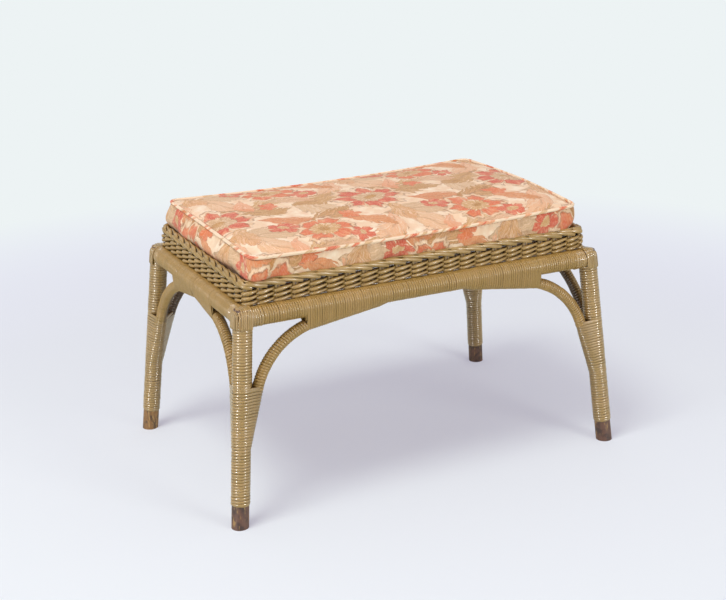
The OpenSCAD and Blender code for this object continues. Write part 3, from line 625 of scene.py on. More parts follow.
def bindCorner(cornerX, cornerY, rng):
    s = binding
    capPaths, neckPaths = [], []
    for longSide in (True, False):
        def place(run, inward, z):
            # run is along the strand's own face, inward is towards the middle of the stool
            u, v = (run, inward) if longSide else (inward, run)
            drop = s["capTop"] - z
            u, v = u - drop * math.tan(leanX), v - drop * math.tan(leanY)
            return cornerX * (halfLength - u), cornerY * (halfDepth - v), z

        for k in range(s["strands"]):
            run = s["firstStrand"] + k * s["strandStep"] + rng.normal() * 0.15 * mm
            # round on the outer side of the leg, flat towards the neck
            power = 2.0 if run < 0 else 5.0
            face = -s["capRadius"] * (1 - abs(run / s["capRadius"]) ** power) ** (1 / power)
            if run < -0.6 * s["capRadius"]:
                face += 0.5 * mm
            top = s["capTop"] - (0 if longSide else 1.5 * mm)
            if run < 0:
                top -= s["capRadius"] - math.sqrt(s["capRadius"] ** 2 - run ** 2)
            bend = (9 + 3 * min(1, max(0, run / (8 * mm)))) * mm
            flat = [(face * -0.45, top - 1.2 * mm), (face * -0.1, top - 0.3 * mm), (face + bend, top)]
            flat += [(face + bend * (1 - math.sin(a)), top - bend * (1 - math.cos(a)))
                     for a in np.radians((22, 45, 68, 90))]
            foot = s["capFoot"] + rng.normal() * 0.4 * mm
            flat += [(face, (top - bend) * (1 - share) + foot * share) for share in (0.3, 0.6, 0.85, 1)]
            flat.append((face + 2.0 * mm, foot - 1.8 * mm))
            points = np.array([place(run, inward, z) for inward, z in flat])
            outward = points - np.array(place(run, 0, s["capTop"] - 1.1 * s["capRadius"]))
            outward[:, 0 if longSide else 1] = 0
            outward = unit(outward)
            outer, inner = [np.array(place(run, inward, s["capFoot"])) for inward in (face, 0)]
            outward[-5:] = unit(outer - inner)
            capPaths.append(dict(points=points, outward=outward, shade=rng.random(), offset=rng.random()))
        for k in range(s["neckTurns"]):
            run = s["neckStart"] + k * s["neckStep"]
            radius = s["neckRadius"] + 0.2 * mm * rng.normal()
            points, outward = [], []
            for a in np.linspace(0, 2 * math.pi, 33)[:-1]:
                high, inward = math.sin(a), math.cos(a)
                sway = 0.6 * mm * math.sin(a + k)
                u, v = (run + sway, inward * radius) if longSide else (inward * radius, run + sway)
                points.append((cornerX * (halfLength - u), cornerY * (halfDepth - v),
                               railZ - 0.6 * mm + radius * high))
                normal = (0, inward) if longSide else (inward, 0)
                outward.append((-cornerX * normal[0], -cornerY * normal[1], high))
            neckPaths.append(dict(points=points, outward=outward, closed=True,
                                  shade=0.3 + 0.6 * rng.random()))
    return capPaths, neckPaths


def wrapCorners():
    rng = np.random.default_rng(14)
    for cornerX, cornerY in corners:
        corner = cornerName(cornerX, cornerY)
        capPaths, neckPaths = bindCorner(cornerX, cornerY, rng)
        pieces = [reedPiece("corner_reed_" + corner, capPaths, *binding["strand"], wrapFinish),
                  reedPiece("neck_" + corner, neckPaths, *binding["neckReed"], wrapFinish)]
        # the necks join the cap, with their attributes kept
        with bpy.context.temp_override(active_object=pieces[0], object=pieces[0], selected_objects=pieces,
                                       selected_editable_objects=pieces):
            bpy.ops.object.join()
        hold(pieces[0], "frame", "reed_wrap", "corner_binding_" + corner)


wrapCorners()
print("corners bound")

# Collar: a line round the wall, the stakes' places on it, then the pairing weave and the rolled border

collar = {
    "cornerRadius": 10 * mm, "lead": 13 * mm, "stakePitch": 28.4 * mm, "wall": 13 * mm,
    "rows": (337.2 * mm, 344.8 * mm, 352.3 * mm), "strand": 4.3 * mm, "perStake": 18,
    # a strand's way from behind one pair of stakes (-1) in front of the next pair (0) to behind the third (1)
    "phases": (-1.0, -0.6, -0.36, -0.25, -0.16, 0.0, 0.17, 0.45, 0.7, 0.8, 0.88, 1.0),
    "depths": (-4.2, -4.0, -2.4, 1.2, 3.3, 3.7, 3.7, 3.9, 2.9, 0.8, -3.4, -4.2),
    "climbs": (2.5, 1.3, -0.6, -2.3, -2.9, -2.2, -1.5, 0.0, 1.2, 1.8, 2.3, 2.5),
    "girths": (0.9, 0.9, 0.95, 1.08, 1.25, 1.56, 1.62, 1.16, 0.96, 0.93, 0.9, 0.9),
    # the stakes stand in pairs
    "pair": (-2.4 * mm, 2.4 * mm), "pairHeights": (331 * mm, 358 * mm),
    # reeds coloured dark as painted shade, at the foot on the rail under the first row and behind the gaps:
    # depth, height, girth
    "shaded": ((-3.2, 331.8, 1.0), (0.6, 332.8, 0.9), (-4.2, 341.2, 0.9), (-4.2, 348.8, 0.9),
               (-4.0, 356.2, 0.9), (-3.6, 359.8, 0.9)),
}
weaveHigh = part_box("collar_weave")[1]
borderLow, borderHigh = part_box("collar_border")
wallX = weaveHigh.x - collar["wall"] / 2
wallY = weaveHigh.y - collar["wall"] / 2
wallRound = collar["cornerRadius"]
wallArc = math.pi * wallRound / 2
wallSides = (2 * (wallX - wallRound), 2 * (wallY - wallRound)) * 2
wallLength = sum(wallSides) + 4 * wallArc


def wallLine(run):
    # the place and outward direction at a distance round the wall, starting at the front left and going right
    r = wallRound
    run = run % wallLength
    starts = ((-wallX + r, -wallY), (wallX, -wallY + r), (wallX - r, wallY), (-wallX, wallY - r))
    for turn, (length, start) in enumerate(zip(wallSides, starts)):
        ahead = np.array([math.cos(turn * math.pi / 2), math.sin(turn * math.pi / 2)])
        outward = np.array([ahead[1], -ahead[0]])
        if run < length:
            return np.array(start) + ahead * run, outward
        run -= length
        if run < wallArc:
            out = outward * math.cos(run / r) + ahead * math.sin(run / r)
            return np.array(start) + ahead * length - outward * r + out * r, out
        run -= wallArc
    return np.array(starts[0]), np.array([0.0, -1.0])


def stakeRuns():
    s = collar
    runs, start = [], 0.0
    for length in wallSides:
        steps = round((length - 2 * s["lead"]) / s["stakePitch"])
        runs += [start + s["lead"] + (length - 2 * s["lead"]) * k / steps for k in range(steps + 1)]
        runs.append(start + length + wallArc / 2)
        start += length + wallArc
    return np.array(runs)


def weaveCollar():
    # pairing: two strands twist round each other, and one of them passes in front of every stake
    s = collar
    rng = np.random.default_rng(15)
    runs = stakeRuns()
    count = len(runs)
    marks = np.concatenate([runs, [runs[0] + wallLength]])
    t = np.arange(count * s["perStake"]) / s["perStake"]
    line = [wallLine(run) for run in np.interp(t, np.arange(count + 1), marks)]
    spots, outs = [np.array(v) for v in zip(*line)]
    outward = np.column_stack([outs, np.zeros(len(t))])
    paths = []
    for rowZ in s["rows"]:
        for strand in (0, 1):
            wobble = np.interp(t, np.arange(count + 1), rng.normal(size=count + 1) * 0.3 * mm)
            phase = (t + strand + 1) % 2 - 1
            curves = [np.interp(phase, s["phases"], s[key]) * mm for key in ("depths", "climbs")]
            depth, rise = [np.convolve(np.concatenate([v[-1:], v, v[:1]]), (0.2, 0.6, 0.2), "valid")
                           for v in curves]
            slow = np.interp(t, np.linspace(0, count, 23), rng.random(23))
            # runs that pass behind the stakes are darkened as painted shade, more the deeper they lie
            paths.append(dict(points=np.column_stack([spots + outs * depth[:, None], rowZ + rise + wobble]),
                              outward=outward, closed=True, shade=0.2 + 0.6 * slow, offset=rng.random() * 5,
                              innerShade=np.clip((0.4 * mm - depth) / (2.4 * mm), 0, 0.8),
                              girth=np.interp(phase, s["phases"], s["girths"])))
    for run in runs:
        for shift in s["pair"]:
            spot, out = wallLine(run + shift)
            points = [(*(spot + out * 0.2 * mm), z) for z in np.linspace(*s["pairHeights"], 7)]
            # the stakes get a little painted shade as well
            paths.append(dict(points=points, outward=[(*out, 0.0)] * 7, shade=rng.random(),
                              offset=rng.random() * 5, girth=1.05, innerShade=0.12))
    # the plain reeds inside the wall need fewer points; their dark colour is painted shade
    for depth, height, girth in s["shaded"]:
        around = (spots + outs * depth * mm)[::3]
        paths.append(dict(points=np.column_stack([around, np.full(len(around), height * mm)]),
                          outward=outward[::3], closed=True, shade=0.1, innerShade=0.75, girth=girth))
    piece = reedPiece("collar_pairing", paths, s["strand"], s["strand"], collarFinish)
    hold(piece, "frame", "collar_reed", "collar_weave")


# Border: each stake bends to the right, runs inside the next, comes over the top and slants down in front

borderShape = {
    "width": 6.5 * mm, "thickness": 3.5 * mm, "span": 4.4,
    # from the stake's top, inside, over the top and down the outer face, in shares of the span
    "stops": (0.0, 0.05, 0.12, 0.2, 0.32, 0.5, 0.68, 0.78, 0.92, 1.0),
    "depths": (0.0, -0.6, -2.6, -4.2, -4.3, -0.3, 3.9, 4.6, 4.5, 2.2),
    "heights": (-7.0, -3.6, -0.8, 0.8, 2.4, 3.8, 2.6, 0.3, -3.2, -5.4),
    # a small hole opens beside each stake, a larger one on the short sides
    "holeAt": 0.7, "holeLength": 0.05, "hole": (0.38, 0.75), "holeDrop": (0.8, 2.2),
    # two reeds fill the roll, darkened as painted shade: depth, height
    "core": ((0.2, -1.6), (1.4, 0.2)),
}


def rollBorder():
    s = borderShape
    rng = np.random.default_rng(16)
    runs = stakeRuns()
    middleZ = (borderLow.z + borderHigh.z) / 2
    reach = math.ceil(s["span"])
    marks = np.concatenate([runs, runs[:reach + 1] + wallLength])
    stops = np.linspace(0, 1, 45)
    depths, heights = [np.interp(stops, s["stops"], s[key]) for key in ("depths", "heights")]
    for k in range(2):
        depths, heights = [np.convolve(np.pad(v, 1, "edge"), (0.25, 0.5, 0.25), "valid")
                           for v in (depths, heights)]
    opening = np.exp(-((stops - s["holeAt"]) / s["holeLength"]) ** 2)
    paths = []
    for k in range(len(runs)):
        runTo = np.interp(stops * s["span"], np.arange(reach + 1), marks[k:k + reach + 1])
        lift, swing = rng.normal() * 0.2, rng.normal() * 0.15
        points, outward, narrow = [], [], []
        for run, depth, height, gap in zip(runTo, depths, heights, opening):
            spot, out = wallLine(run)
            endSide = 1 if abs(out[0]) > 0.7 else 0
            height -= s["holeDrop"][endSide] * gap
            narrow.append(1 - s["hole"][endSide] * gap)
            points.append((*(spot + out * (depth + swing) * mm), middleZ + (height + lift) * mm))
            tilt = math.atan2(max(height, 0), abs(depth) + 1) if depth > -3.9 else 0.9
            outward.append((*(out * math.cos(tilt) * (1 if depth > 0 else -1)), math.sin(tilt)))
        # runs inside the roll, and the start where the stake comes up, are darkened as painted shade
        inside = np.clip(-depths / 4.2, 0, 1) * np.clip((1.6 - heights) / 3, 0, 1)
        paths.append(dict(points=points, outward=outward, shade=0.25 + 0.6 * rng.random(),
                          offset=rng.random() * 5, innerShade=np.clip(inside + 0.7 * (stops < 0.1), 0, 0.8),
                          girth=np.array(narrow) * (1 + 0.04 * rng.normal())))
    # the two core reeds are darkened as painted shade of the hollow inside the roll
    core = [wallLine(run) for run in np.linspace(0, wallLength, 260, endpoint=False)]
    for depth, height in s["core"]:
        paths.append(dict(points=[(*(spot + out * depth * mm), middleZ + height * mm) for spot, out in core],
                          outward=[(*out, 0.0) for spot, out in core], closed=True, shade=0.0, innerShade=0.8,
                          girth=0.75))
    piece = reedPiece("collar_rolled_border", paths, s["width"], s["thickness"], collarFinish)
    hold(piece, "frame", "collar_reed", "collar_border")


weaveCollar()
rollBorder()
print("collar woven")

# Cushion: a box cover of top, side band and bottom, sewn at two seams and filled in a cloth simulation

cushionShape = {
    "grid": 6.0 * mm, "cornerRadius": 13 * mm, "crown": 4.5 * mm, "bandRows": 12,
    "cloth": dict(quality=6, mass=0.3, tension_stiffness=12, compression_stiffness=12, shear_stiffness=6,
                  bending_stiffness=0.4, use_pressure=True, uniform_pressure_force=2.2,
                  vertex_group_mass="seams", shrink_min=-0.02),
    # how far the filling may move a point, and the simulation's length in frames
    "cap": 6 * mm, "steps": 20,
    # seam heights over the nominal one, at front, middle and back, each from left over middle to right
    "heights": ((-5.0, -8.5, -1.0), (-2.5, 0.0, 5.5), (1.0, -3.5, 3.5)),
    # how far the seam stands out at each end, from front over middle to back
    "leftEnd": (-1.0, -3.0, -1.0), "rightEnd": (0.0, 5.0, 3.0), "sideDraw": 2.0 * mm,
    # how far the band swells past the seam, and how much more at the left end
    "bandSwell": 5.5 * mm, "leftSwell": 3.4, "swellBelow": 6 * mm,
    # the sag of the bottom panel, and where the band and the bottom panel lie on the cloth
    "sag": 1.4 * mm, "bandHeight": 70 * mm, "bandPlace": 1.0, "bottomPlace": 2.0,
    # puckers along the seam: half their height, then reach and strength on the band and on the top
    "puckers": 0.75 * mm, "bandPuckers": (20 * mm, 2.1), "topPuckers": (11 * mm, 0.7),
    "puckerStart": 3 * mm, "seamShadeReach": 6 * mm, "seamBelow": 2 * mm,
    "pipingRadius": 2.6 * mm, "pipingOut": 1.1 * mm,
}
topLow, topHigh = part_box("cushion_top_welt")
bottomLow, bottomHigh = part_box("cushion_bottom_welt")
weltRadius = 2.5 * mm
seamHalf = (topHigh.x - weltRadius, topHigh.y - weltRadius)
footHalf = (bottomHigh.x - weltRadius, bottomHigh.y - weltRadius)
topSeamZ, bottomSeamZ = (topLow.z + topHigh.z) / 2, (bottomLow.z + bottomHigh.z) / 2
collarTopZ = borderHigh.z


def panelPoint(a, b, half):
    # a square grid point in -1..1 laid on a panel with round corners and drawn-in sides
    s = cushionShape
    hx, hy = half
    r = s["cornerRadius"]
    x, y = abs(a) * hx, abs(b) * hy
    qx, qy = max(0, (x - hx + r) / r), max(0, (y - hy + r) / r)
    if qx > 0 and qy > 0:
        x = hx - r + r * qx * math.sqrt(1 - qy * qy / 2)
        y = hy - r + r * qy * math.sqrt(1 - qx * qx / 2)
    fullX, fullY = x * math.copysign(1, a), y * math.copysign(1, b)
    ends = s["leftEnd"] if a < 0 else s["rightEnd"]
    reach = float(np.interp(b, (-1, 0, 1), ends)) * mm * abs(a) ** 2
    pull = 1 - s["sideDraw"] / hy * (1 - (fullX / hx) ** 2) * abs(b) ** 3
    return fullX + math.copysign(1, a) * reach, fullY * pull


def seamLift(x, y):
    # a smooth sheet through the nine heights
    a, b = x / seamHalf[0], y / seamHalf[1]
    spread = lambda v: (v * (v - 1) / 2, 1 - v * v, v * (v + 1) / 2)
    return sum(wb * wa * h for wb, row in zip(spread(b), cushionShape["heights"])
               for wa, h in zip(spread(a), row)) * mm


def bandSwell(spot, topZ):
    # how far a point of the band stands out, from nothing inside the collar to most above it
    s = cushionShape
    above = s["swellBelow"] - collarTopZ
    rise = min(1, max(0, (spot[2] + above) / (topZ + above)))
    # the left end bulges most, and lowest
    lean = min(1, max(0, (-spot[0] / seamHalf[0] - 0.84) / 0.12)) * (0.4 + 0.6 * (spot[1] / seamHalf[1]) ** 2)
    full = 1 + (s["leftSwell"] - 1) * lean
    out = unit(np.array([spot[0] / seamHalf[0] ** 2, spot[1] / seamHalf[1] ** 2, 0]))
    return out * s["bandSwell"] * full * math.sin(math.pi * rise ** (1 - 0.5 * lean))


def coverMesh():
    s = cushionShape
    nx, ny = [round(2 * half / s["grid"]) for half in seamHalf]
    verts, faces, uvs, topIndex, lowIndex = [], [], [], {}, {}
    for i in range(nx + 1):
        for j in range(ny + 1):
            a, b = 2 * i / nx - 1, 2 * j / ny - 1
            edge = max(abs(a), abs(b))
            x, y = panelPoint(a, b, seamHalf)
            topIndex[i, j] = len(verts)
            verts.append((x, y, topSeamZ + seamLift(x, y) + s["crown"] * (1 - edge ** 2.4)))
            x, y = panelPoint(a, b, footHalf)
            lowIndex[i, j] = len(verts)
            verts.append((x, y, bottomSeamZ - s["sag"] * min(1, (1 - edge) * 12)))
    for i in range(nx):
        for j in range(ny):
            ring = [(i, j), (i + 1, j), (i + 1, j + 1), (i, j + 1)]
            # the bottom panel is cut from another part of the cloth
            for face, shift in (([topIndex[k] for k in ring], 0.0),
                                ([lowIndex[k] for k in ring[::-1]], s["bottomPlace"])):
                faces.append(face)
                uvs += [(verts[v][0] + shift, verts[v][1]) for v in face]
    loop = [(i, 0) for i in range(nx)] + [(nx, j) for j in range(ny)]
    loop += [(i, ny) for i in range(nx, 0, -1)] + [(0, j) for j in range(ny, 0, -1)]
    half = nx + ny + nx // 2
    loop = loop[half:] + loop[:half]  # the band's joint is at the back
    rows = [[lowIndex[k] for k in loop]]
    heights = np.linspace(0, 1, s["bandRows"] + 1)
    for share in heights[1:-1]:
        rows.append(list(range(len(verts), len(verts) + len(loop))))
        for k in loop:
            low, top = np.array(verts[lowIndex[k]]), np.array(verts[topIndex[k]])
            spot = low * (1 - share) + top * share
            verts.append(tuple(spot + bandSwell(spot, top[2])))
    rows.append([topIndex[k] for k in loop])
    runs = [0.0]
    for k, one in enumerate(rows[-1]):
        runs.append(runs[-1] + math.dist(verts[one][:2], verts[rows[-1][(k + 1) % len(loop)]][:2]))
    for r in range(len(rows) - 1):
        z0, z1 = [heights[k] * s["bandHeight"] + s["bandPlace"] for k in (r, r + 1)]
        for k in range(len(loop)):
            n = (k + 1) % len(loop)
            faces.append([rows[r][k], rows[r][n], rows[r + 1][n], rows[r + 1][k]])
            uvs += [(runs[k], z0), (runs[k + 1], z0), (runs[k + 1], z1), (runs[k], z1)]
    return verts, faces, uvs, rows


def fillCover(cover, held):
    # the pressure of the filling, with the seams and the bottom held, and no point moved further than the cap
    s = cushionShape
    mesh = cover.data
    start = np.zeros(len(mesh.vertices) * 3)
    mesh.vertices.foreach_get("co", start)
    start = start.reshape(-1, 3)
    cover.vertex_groups.new(name="seams").add(held, 1.0, "REPLACE")
    cloth = cover.modifiers.new("filling", "CLOTH")
    for key, value in s["cloth"].items():
        setattr(cloth.settings, key, value)
    cloth.settings.effector_weights.gravity = 0
    cloth.point_cache.frame_start = 1
    cloth.point_cache.frame_end = s["steps"]
    for step in range(1, s["steps"] + 1):
        bpy.context.scene.frame_set(step)
    moved = np.zeros(start.size)
    cover.evaluated_get(bpy.context.evaluated_depsgraph_get()).data.vertices.foreach_get("co", moved)
    shift = moved.reshape(-1, 3) - start
    far = np.linalg.norm(shift, axis=1, keepdims=True)
    shift = shift * np.minimum(1, s["cap"] / np.maximum(far, 1e-9))
    cover.modifiers.remove(cloth)
    bpy.context.scene.frame_set(1)
    mesh.vertices.foreach_set("co", (start + shift).ravel())
    mesh.update()
    cover.vertex_groups.clear()
    print("cloth moved", round(float(far.max() / mm), 1), "mm at most")


def makeCover():
    verts, faces, uvs, rows = coverMesh()
    mesh = bpy.data.meshes.new("cushion_cover")
    mesh.from_pydata(verts, [], faces)
    mesh.uv_layers.new(name="cloth").data.foreach_set("uv", np.array(uvs, dtype=np.float32).ravel())
    cover = newObject("cushion_cover", mesh)
    inside = [k for k, v in enumerate(verts) if v[2] < bottomSeamZ + 1 * mm]
    fillCover(cover, rows[0] + rows[-1] + inside)
    return cover, *[[tuple(mesh.vertices[k].co) for k in row] for row in (rows[-1], rows[0])]


cover, seamTop, seamLow = makeCover()


# Printed cotton: node groups draw a leaf and a blossom, repeated over the cloth, and layers place them

printShape = {
    "repeat": (0.262, 0.226, 1.0), "cream": "#F7E3C8", "ground": "#EDCCA9", "blush": "#E8B894",
    "weavePitch": 0.9 * mm, "softness": {"Sheen_Weight": 0.15, "Specular_IOR_Level": 0.3},
    "coral": "#DA6D4C", "coralDeep": "#C8533B", "orange": "#D9763B", "peach": "#E7A67C",
    "tan": "#C79352", "ochre": "#AD7838", "beige": "#DAB184", "taupe": "#C7A078", "line": "#8E5535",
}


def motifGroup(name, *sizes):
    # a group with the place on the cloth, the motif's centre, turn and repeat, and its own sizes
    tree = bpy.data.node_groups.new(name, "ShaderNodeTree")
    for way, kind, keys in (("INPUT", "Vector", ("Spot", "Centre", "Repeat")),
                            ("INPUT", "Float", ("Turn",) + sizes),
                            ("OUTPUT", "Float", ("Depth", "Vein", "Share", "Streak"))):
        for key in keys:
            tree.interface.new_socket(key, in_out=way, socket_type="NodeSocket" + kind)
    add = adder(tree)
    given = add("NodeGroupInput").outputs
    offset = add("VectorMath SUBTRACT", given["Spot"], given["Centre"])
    ends = [add("VectorMath SCALE", given["Repeat"], share) for share in (0.5, -0.5)]
    flat = add("VectorMath MULTIPLY", add("VectorMath WRAP", offset, *ends), (1, 1, 0))
    turned = add("VectorRotate", flat, rotation_type="Z_AXIS", Angle=given["Turn"])
    split = add("SeparateXYZ", turned).outputs
    return tree, add, given, split["X"], split["Y"]


def leafMotif():
    # Depth is the distance in from the edge, in leaf widths, and Streak follows the side veins
    tree, add, given, x, y = motifGroup("leaf_motif", "Length", "Width", "Bend", "Teeth")
    alongLeaf = add("DIVIDE", x, given["Length"])
    square = add("MULTIPLY", alongLeaf, alongLeaf)
    bow = add("MULTIPLY", square, given["Bend"])
    spine = add("ABSOLUTE", add("SUBTRACT", add("DIVIDE", y, given["Width"]), bow))
    lens = add("MULTIPLY_ADD", square, -2.0, 0.5)
    lean = add("MULTIPLY_ADD", alongLeaf, 0.7, 1.0)
    swept = add("MULTIPLY_ADD", spine, -1.1, alongLeaf)
    teeth = add("ABSOLUTE", add("SINE", add("MULTIPLY", swept, 17.0)))
    cut = add("SUBTRACT", 1.0, add("MULTIPLY", given["Teeth"], add("SUBTRACT", 1.0, teeth)))
    half = add("MULTIPLY", add("MULTIPLY", lens, lean), cut)
    inside = add("LESS_THAN", add("ABSOLUTE", alongLeaf), 0.5)
    depth = add("SUBTRACT", add("MULTIPLY", add("ADD", add("SUBTRACT", half, spine), 1.0), inside), 1.0)
    sideVein = add("CombineXYZ", add("MULTIPLY", swept, 22.0), add("MULTIPLY", spine, 2.5))
    add("NodeGroupOutput", Depth=depth, Vein=add("MapRange", spine, 0.015, 0.045, 1.0, 0.0),
        Share=add("ADD", alongLeaf, 0.5), Streak=add("TexNoise", sideVein, Scale=1.0, Detail=2.0))
    return tree


def blossomMotif():
    # petals part at the edge, and Streak runs from the middle outwards
    tree, add, given, x, y = motifGroup("blossom_motif", "Radius", "Petals", "Lobe")
    reach = add("SQRT", add("ADD", add("MULTIPLY", x, x), add("MULTIPLY", y, y)))
    angle = add("ARCTAN2", y, x)
    swing = add("MULTIPLY", angle, add("MULTIPLY", given["Petals"], 0.5))
    bump = add("POWER", add("ABSOLUTE", add("COSINE", swing)), 0.5)
    frill = add("MULTIPLY", add("ABSOLUTE", add("SINE", add("MULTIPLY", swing, 3.0))), 0.09)
    lobe = add("SUBTRACT", 1.0, add("MULTIPLY", given["Lobe"], add("SUBTRACT", 1.0, bump)))
    share = add("DIVIDE", reach, add("MULTIPLY", given["Radius"], add("SUBTRACT", lobe, frill)))
    parting = add("MULTIPLY", add("MapRange", bump, 0.42, 0.25), add("MapRange", share, 0.3, 0.6))
    ray = add("CombineXYZ", add("MULTIPLY", angle, 7.0), add("MULTIPLY", share, 1.8))
    add("NodeGroupOutput", Depth=add("SUBTRACT", 1.0, share), Vein=parting, Share=share,
        Streak=add("TexNoise", ray, Scale=1.0, Detail=2.0))
    return tree


def printedCotton(name, s):
    # plain-weave cotton with a painterly leaf and blossom print in coral, orange and ochre on cream
    leaf, blossom = leafMotif(), blossomMotif()
    finish, add, shader = newFinish(name)
    spot = add("UVMap", uv_map="cloth")

    def moved(source, scale, detail, amount):
        # the place shifted by a noise, so that drawn shapes wander
        noise = add("TexNoise", spot, Scale=scale, Detail=detail).outputs["Color"]
        centred = add("VectorMath SUBTRACT", noise, (0.5, 0.5, 0.5))
        return add("VectorMath ADD", source, add("VectorMath SCALE", centred, amount))

    place = moved(moved(spot, 17.0, 2.0, 0.038), 120.0, 3.0, 0.009)
    # a slanted hatching of dry brush marks, about 2 mm apart, edges and fills follow it
    slanted = add("Mapping", spot, Rotation=(0, 0, math.radians(38)), Scale=(520.0, 190.0, 1.0))
    hatch = add("TexNoise", slanted, Scale=1.0, Detail=2.0)
    cloud = add("TexNoise", spot, Scale=45.0, Detail=3.0)
    broken = add("TexNoise", spot, Scale=75.0, Detail=2.0)
    inked = add("MapRange", broken, 0.4, 0.56, 0.15, 1.0)
    wobble = add("MULTIPLY", add("SUBTRACT", hatch, 0.5), 0.22)
    cloth = add("Mix RGBA", add("MapRange", cloud, 0.34, 0.56), s["cream"], s["ground"])

    def lay(share, code):
        nonlocal cloth
        cloth = add("Mix RGBA", share, cloth, code)

    def motif(group, centre, turn, sizes, near, far, pale, strength=1.0, outline=0.65, edge=0.11):
        # the place waits for the colour so far, so that Cycles finishes one motif before the next
        after = add("VectorMath MULTIPLY_ADD", cloth, (1e-7, 1e-7, 1e-7), place)
        drawn = add("Group", node_tree=group, Spot=after, Centre=(centre[0] * mm, centre[1] * mm, 0.0),
                    Repeat=s["repeat"], Turn=math.radians(turn), **sizes).outputs
        streak = drawn["Streak"]
        feathered = add("ADD", drawn["Depth"], add("MULTIPLY", wobble, 0.55))
        mask = add("MapRange", feathered, 0.0, edge * 0.7, 0.0, strength)
        brushed = add("ADD", add("MULTIPLY", add("SUBTRACT", streak, 0.45), 1.7), wobble)
        tone = add("ADD", add("MULTIPLY", drawn["Share"], 0.5), brushed)
        faded = add("MapRange", cloud, 0.35, 0.6, 0.25, 0.8)
        faded = add("MULTIPLY", add("MapRange", streak, 0.5, 0.68), faded)
        lay(mask, add("Mix RGBA", faded, add("Mix RGBA", tone, s[near], s[far]), s[pale]))
        # the outline is thin, and broken where the screen ran dry
        rim = add("MapRange", feathered, edge, edge * 0.5)
        rim = add("MULTIPLY", add("MapRange", feathered, 0.0, edge * 0.3), rim)
        line = add("MAXIMUM", rim, add("MULTIPLY", add("MULTIPLY", drawn["Vein"], 0.6), mask))
        lay(add("MULTIPLY", add("MULTIPLY", line, inked), outline), s["line"])

    lay(add("MULTIPLY", add("MapRange", broken, 0.5, 0.72), 0.5), s["blush"])
    for centre, turn, (length, width, bend, teeth), near, far, pale in (
            ((-100, -6), 74, (124, 60, 0.9, 0.2), "beige", "taupe", "cream"),
            ((38, -88), 12, (132, 60, -0.8, 0.25), "taupe", "beige", "ground"),
            ((70, 18), 24, (128, 64, 1.1, 0.5), "ochre", "tan", "beige"),
            ((-66, 34), 152, (122, 56, -1.0, 0.45), "tan", "ochre", "beige"),
            ((34, 88), 66, (116, 50, 0.9, 0.15), "beige", "peach", "cream"),
            ((-28, 92), 120, (108, 46, -1.2, 0.3), "peach", "beige", "cream"),
            ((122, 70), -40, (120, 56, 1.2, 0.45), "tan", "beige", "cream"),
            ((104, -54), 38, (112, 50, -0.8, 0.5), "orange", "ochre", "peach"),
            ((-98, -62), -30, (118, 54, 1.0, 0.5), "ochre", "tan", "peach"),
            ((10, -84), 92, (96, 40, 0.9, 0.3), "tan", "peach", "cream"),
            ((-48, -98), 46, (92, 38, -1.0, 0.4), "orange", "tan", "peach"),
            ((66, 62), 100, (80, 30, 0.8, 0.3), "peach", "orange", "cream"),
            ((-118, 54), 14, (86, 34, -0.9, 0.2), "taupe", "peach", "cream")):
        motif(leaf, centre, turn, dict(Length=length * mm, Width=width * mm, Bend=bend, Teeth=teeth),
              near, far, pale, strength=0.9, outline=0.6, edge=0.05)
    for centre, turn, radius, petals, lobe, near, far, pale in (
            ((0, 2), 10, 69, 8, 0.3, "beige", "ground", "cream"),
            ((0, 2), 10, 59, 8, 0.5, "coralDeep", "coral", "peach"),
            ((0, 2), 0, 31, 15, 0.16, "taupe", "beige", "cream"),
            ((0, 2), 0, 12, 7, 0.2, "tan", "ochre", "beige"),
            ((131, 113), 0, 58, 6, 0.34, "ground", "beige", "cream"),
            ((131, 113), 0, 49, 6, 0.5, "coral", "orange", "peach"),
            ((131, 113), 30, 27, 13, 0.2, "tan", "beige", "cream"),
            ((131, 113), 0, 10, 5, 0.2, "ochre", "tan", "beige"),
            ((76, -78), 12, 26, 5, 0.5, "coralDeep", "coral", "peach"),
            ((76, -78), 0, 9, 5, 0.1, "tan", "beige", "cream"),
            ((-84, 78), 40, 25, 5, 0.5, "coral", "coralDeep", "peach"),
            ((-84, 78), 0, 8, 5, 0.1, "tan", "beige", "cream"),
            ((-68, -62), 0, 21, 5, 0.5, "orange", "coral", "peach"),
            ((96, 40), 20, 18, 5, 0.5, "coral", "orange", "peach")):
        motif(blossom, centre, turn, dict(Radius=radius * mm, Petals=petals, Lobe=lobe), near, far, pale)
    # the print has faded a little and sits unevenly in the thread
    lay(add("MapRange", hatch, 0.45, 0.75, 0.0, 0.24), s["cream"])
    lay(add("MapRange", cloud, 0.5, 0.75, 0.0, 0.2), s["ground"])
    # painted shadow: the cloth darkens to a brown line beside the piping
    seam = add("Attribute", attribute_name="seam").outputs["Fac"]
    lay(add("MapRange", seam, 0.3, 0.6, 0.0, 0.8), s["line"])
    split = add("SeparateXYZ", spot).outputs
    rate = 2 * math.pi / s["weavePitch"]
    warp, weft = [add("SINE", add("MULTIPLY", split[key], rate)) for key in ("X", "Y")]
    weave = add("Bump", Strength=0.25, Distance=0.0002, Height=add("MULTIPLY", warp, weft))
    fill(shader, Base_Color=cloth, Roughness=0.82, Normal=weave, **s["softness"])
    return finish


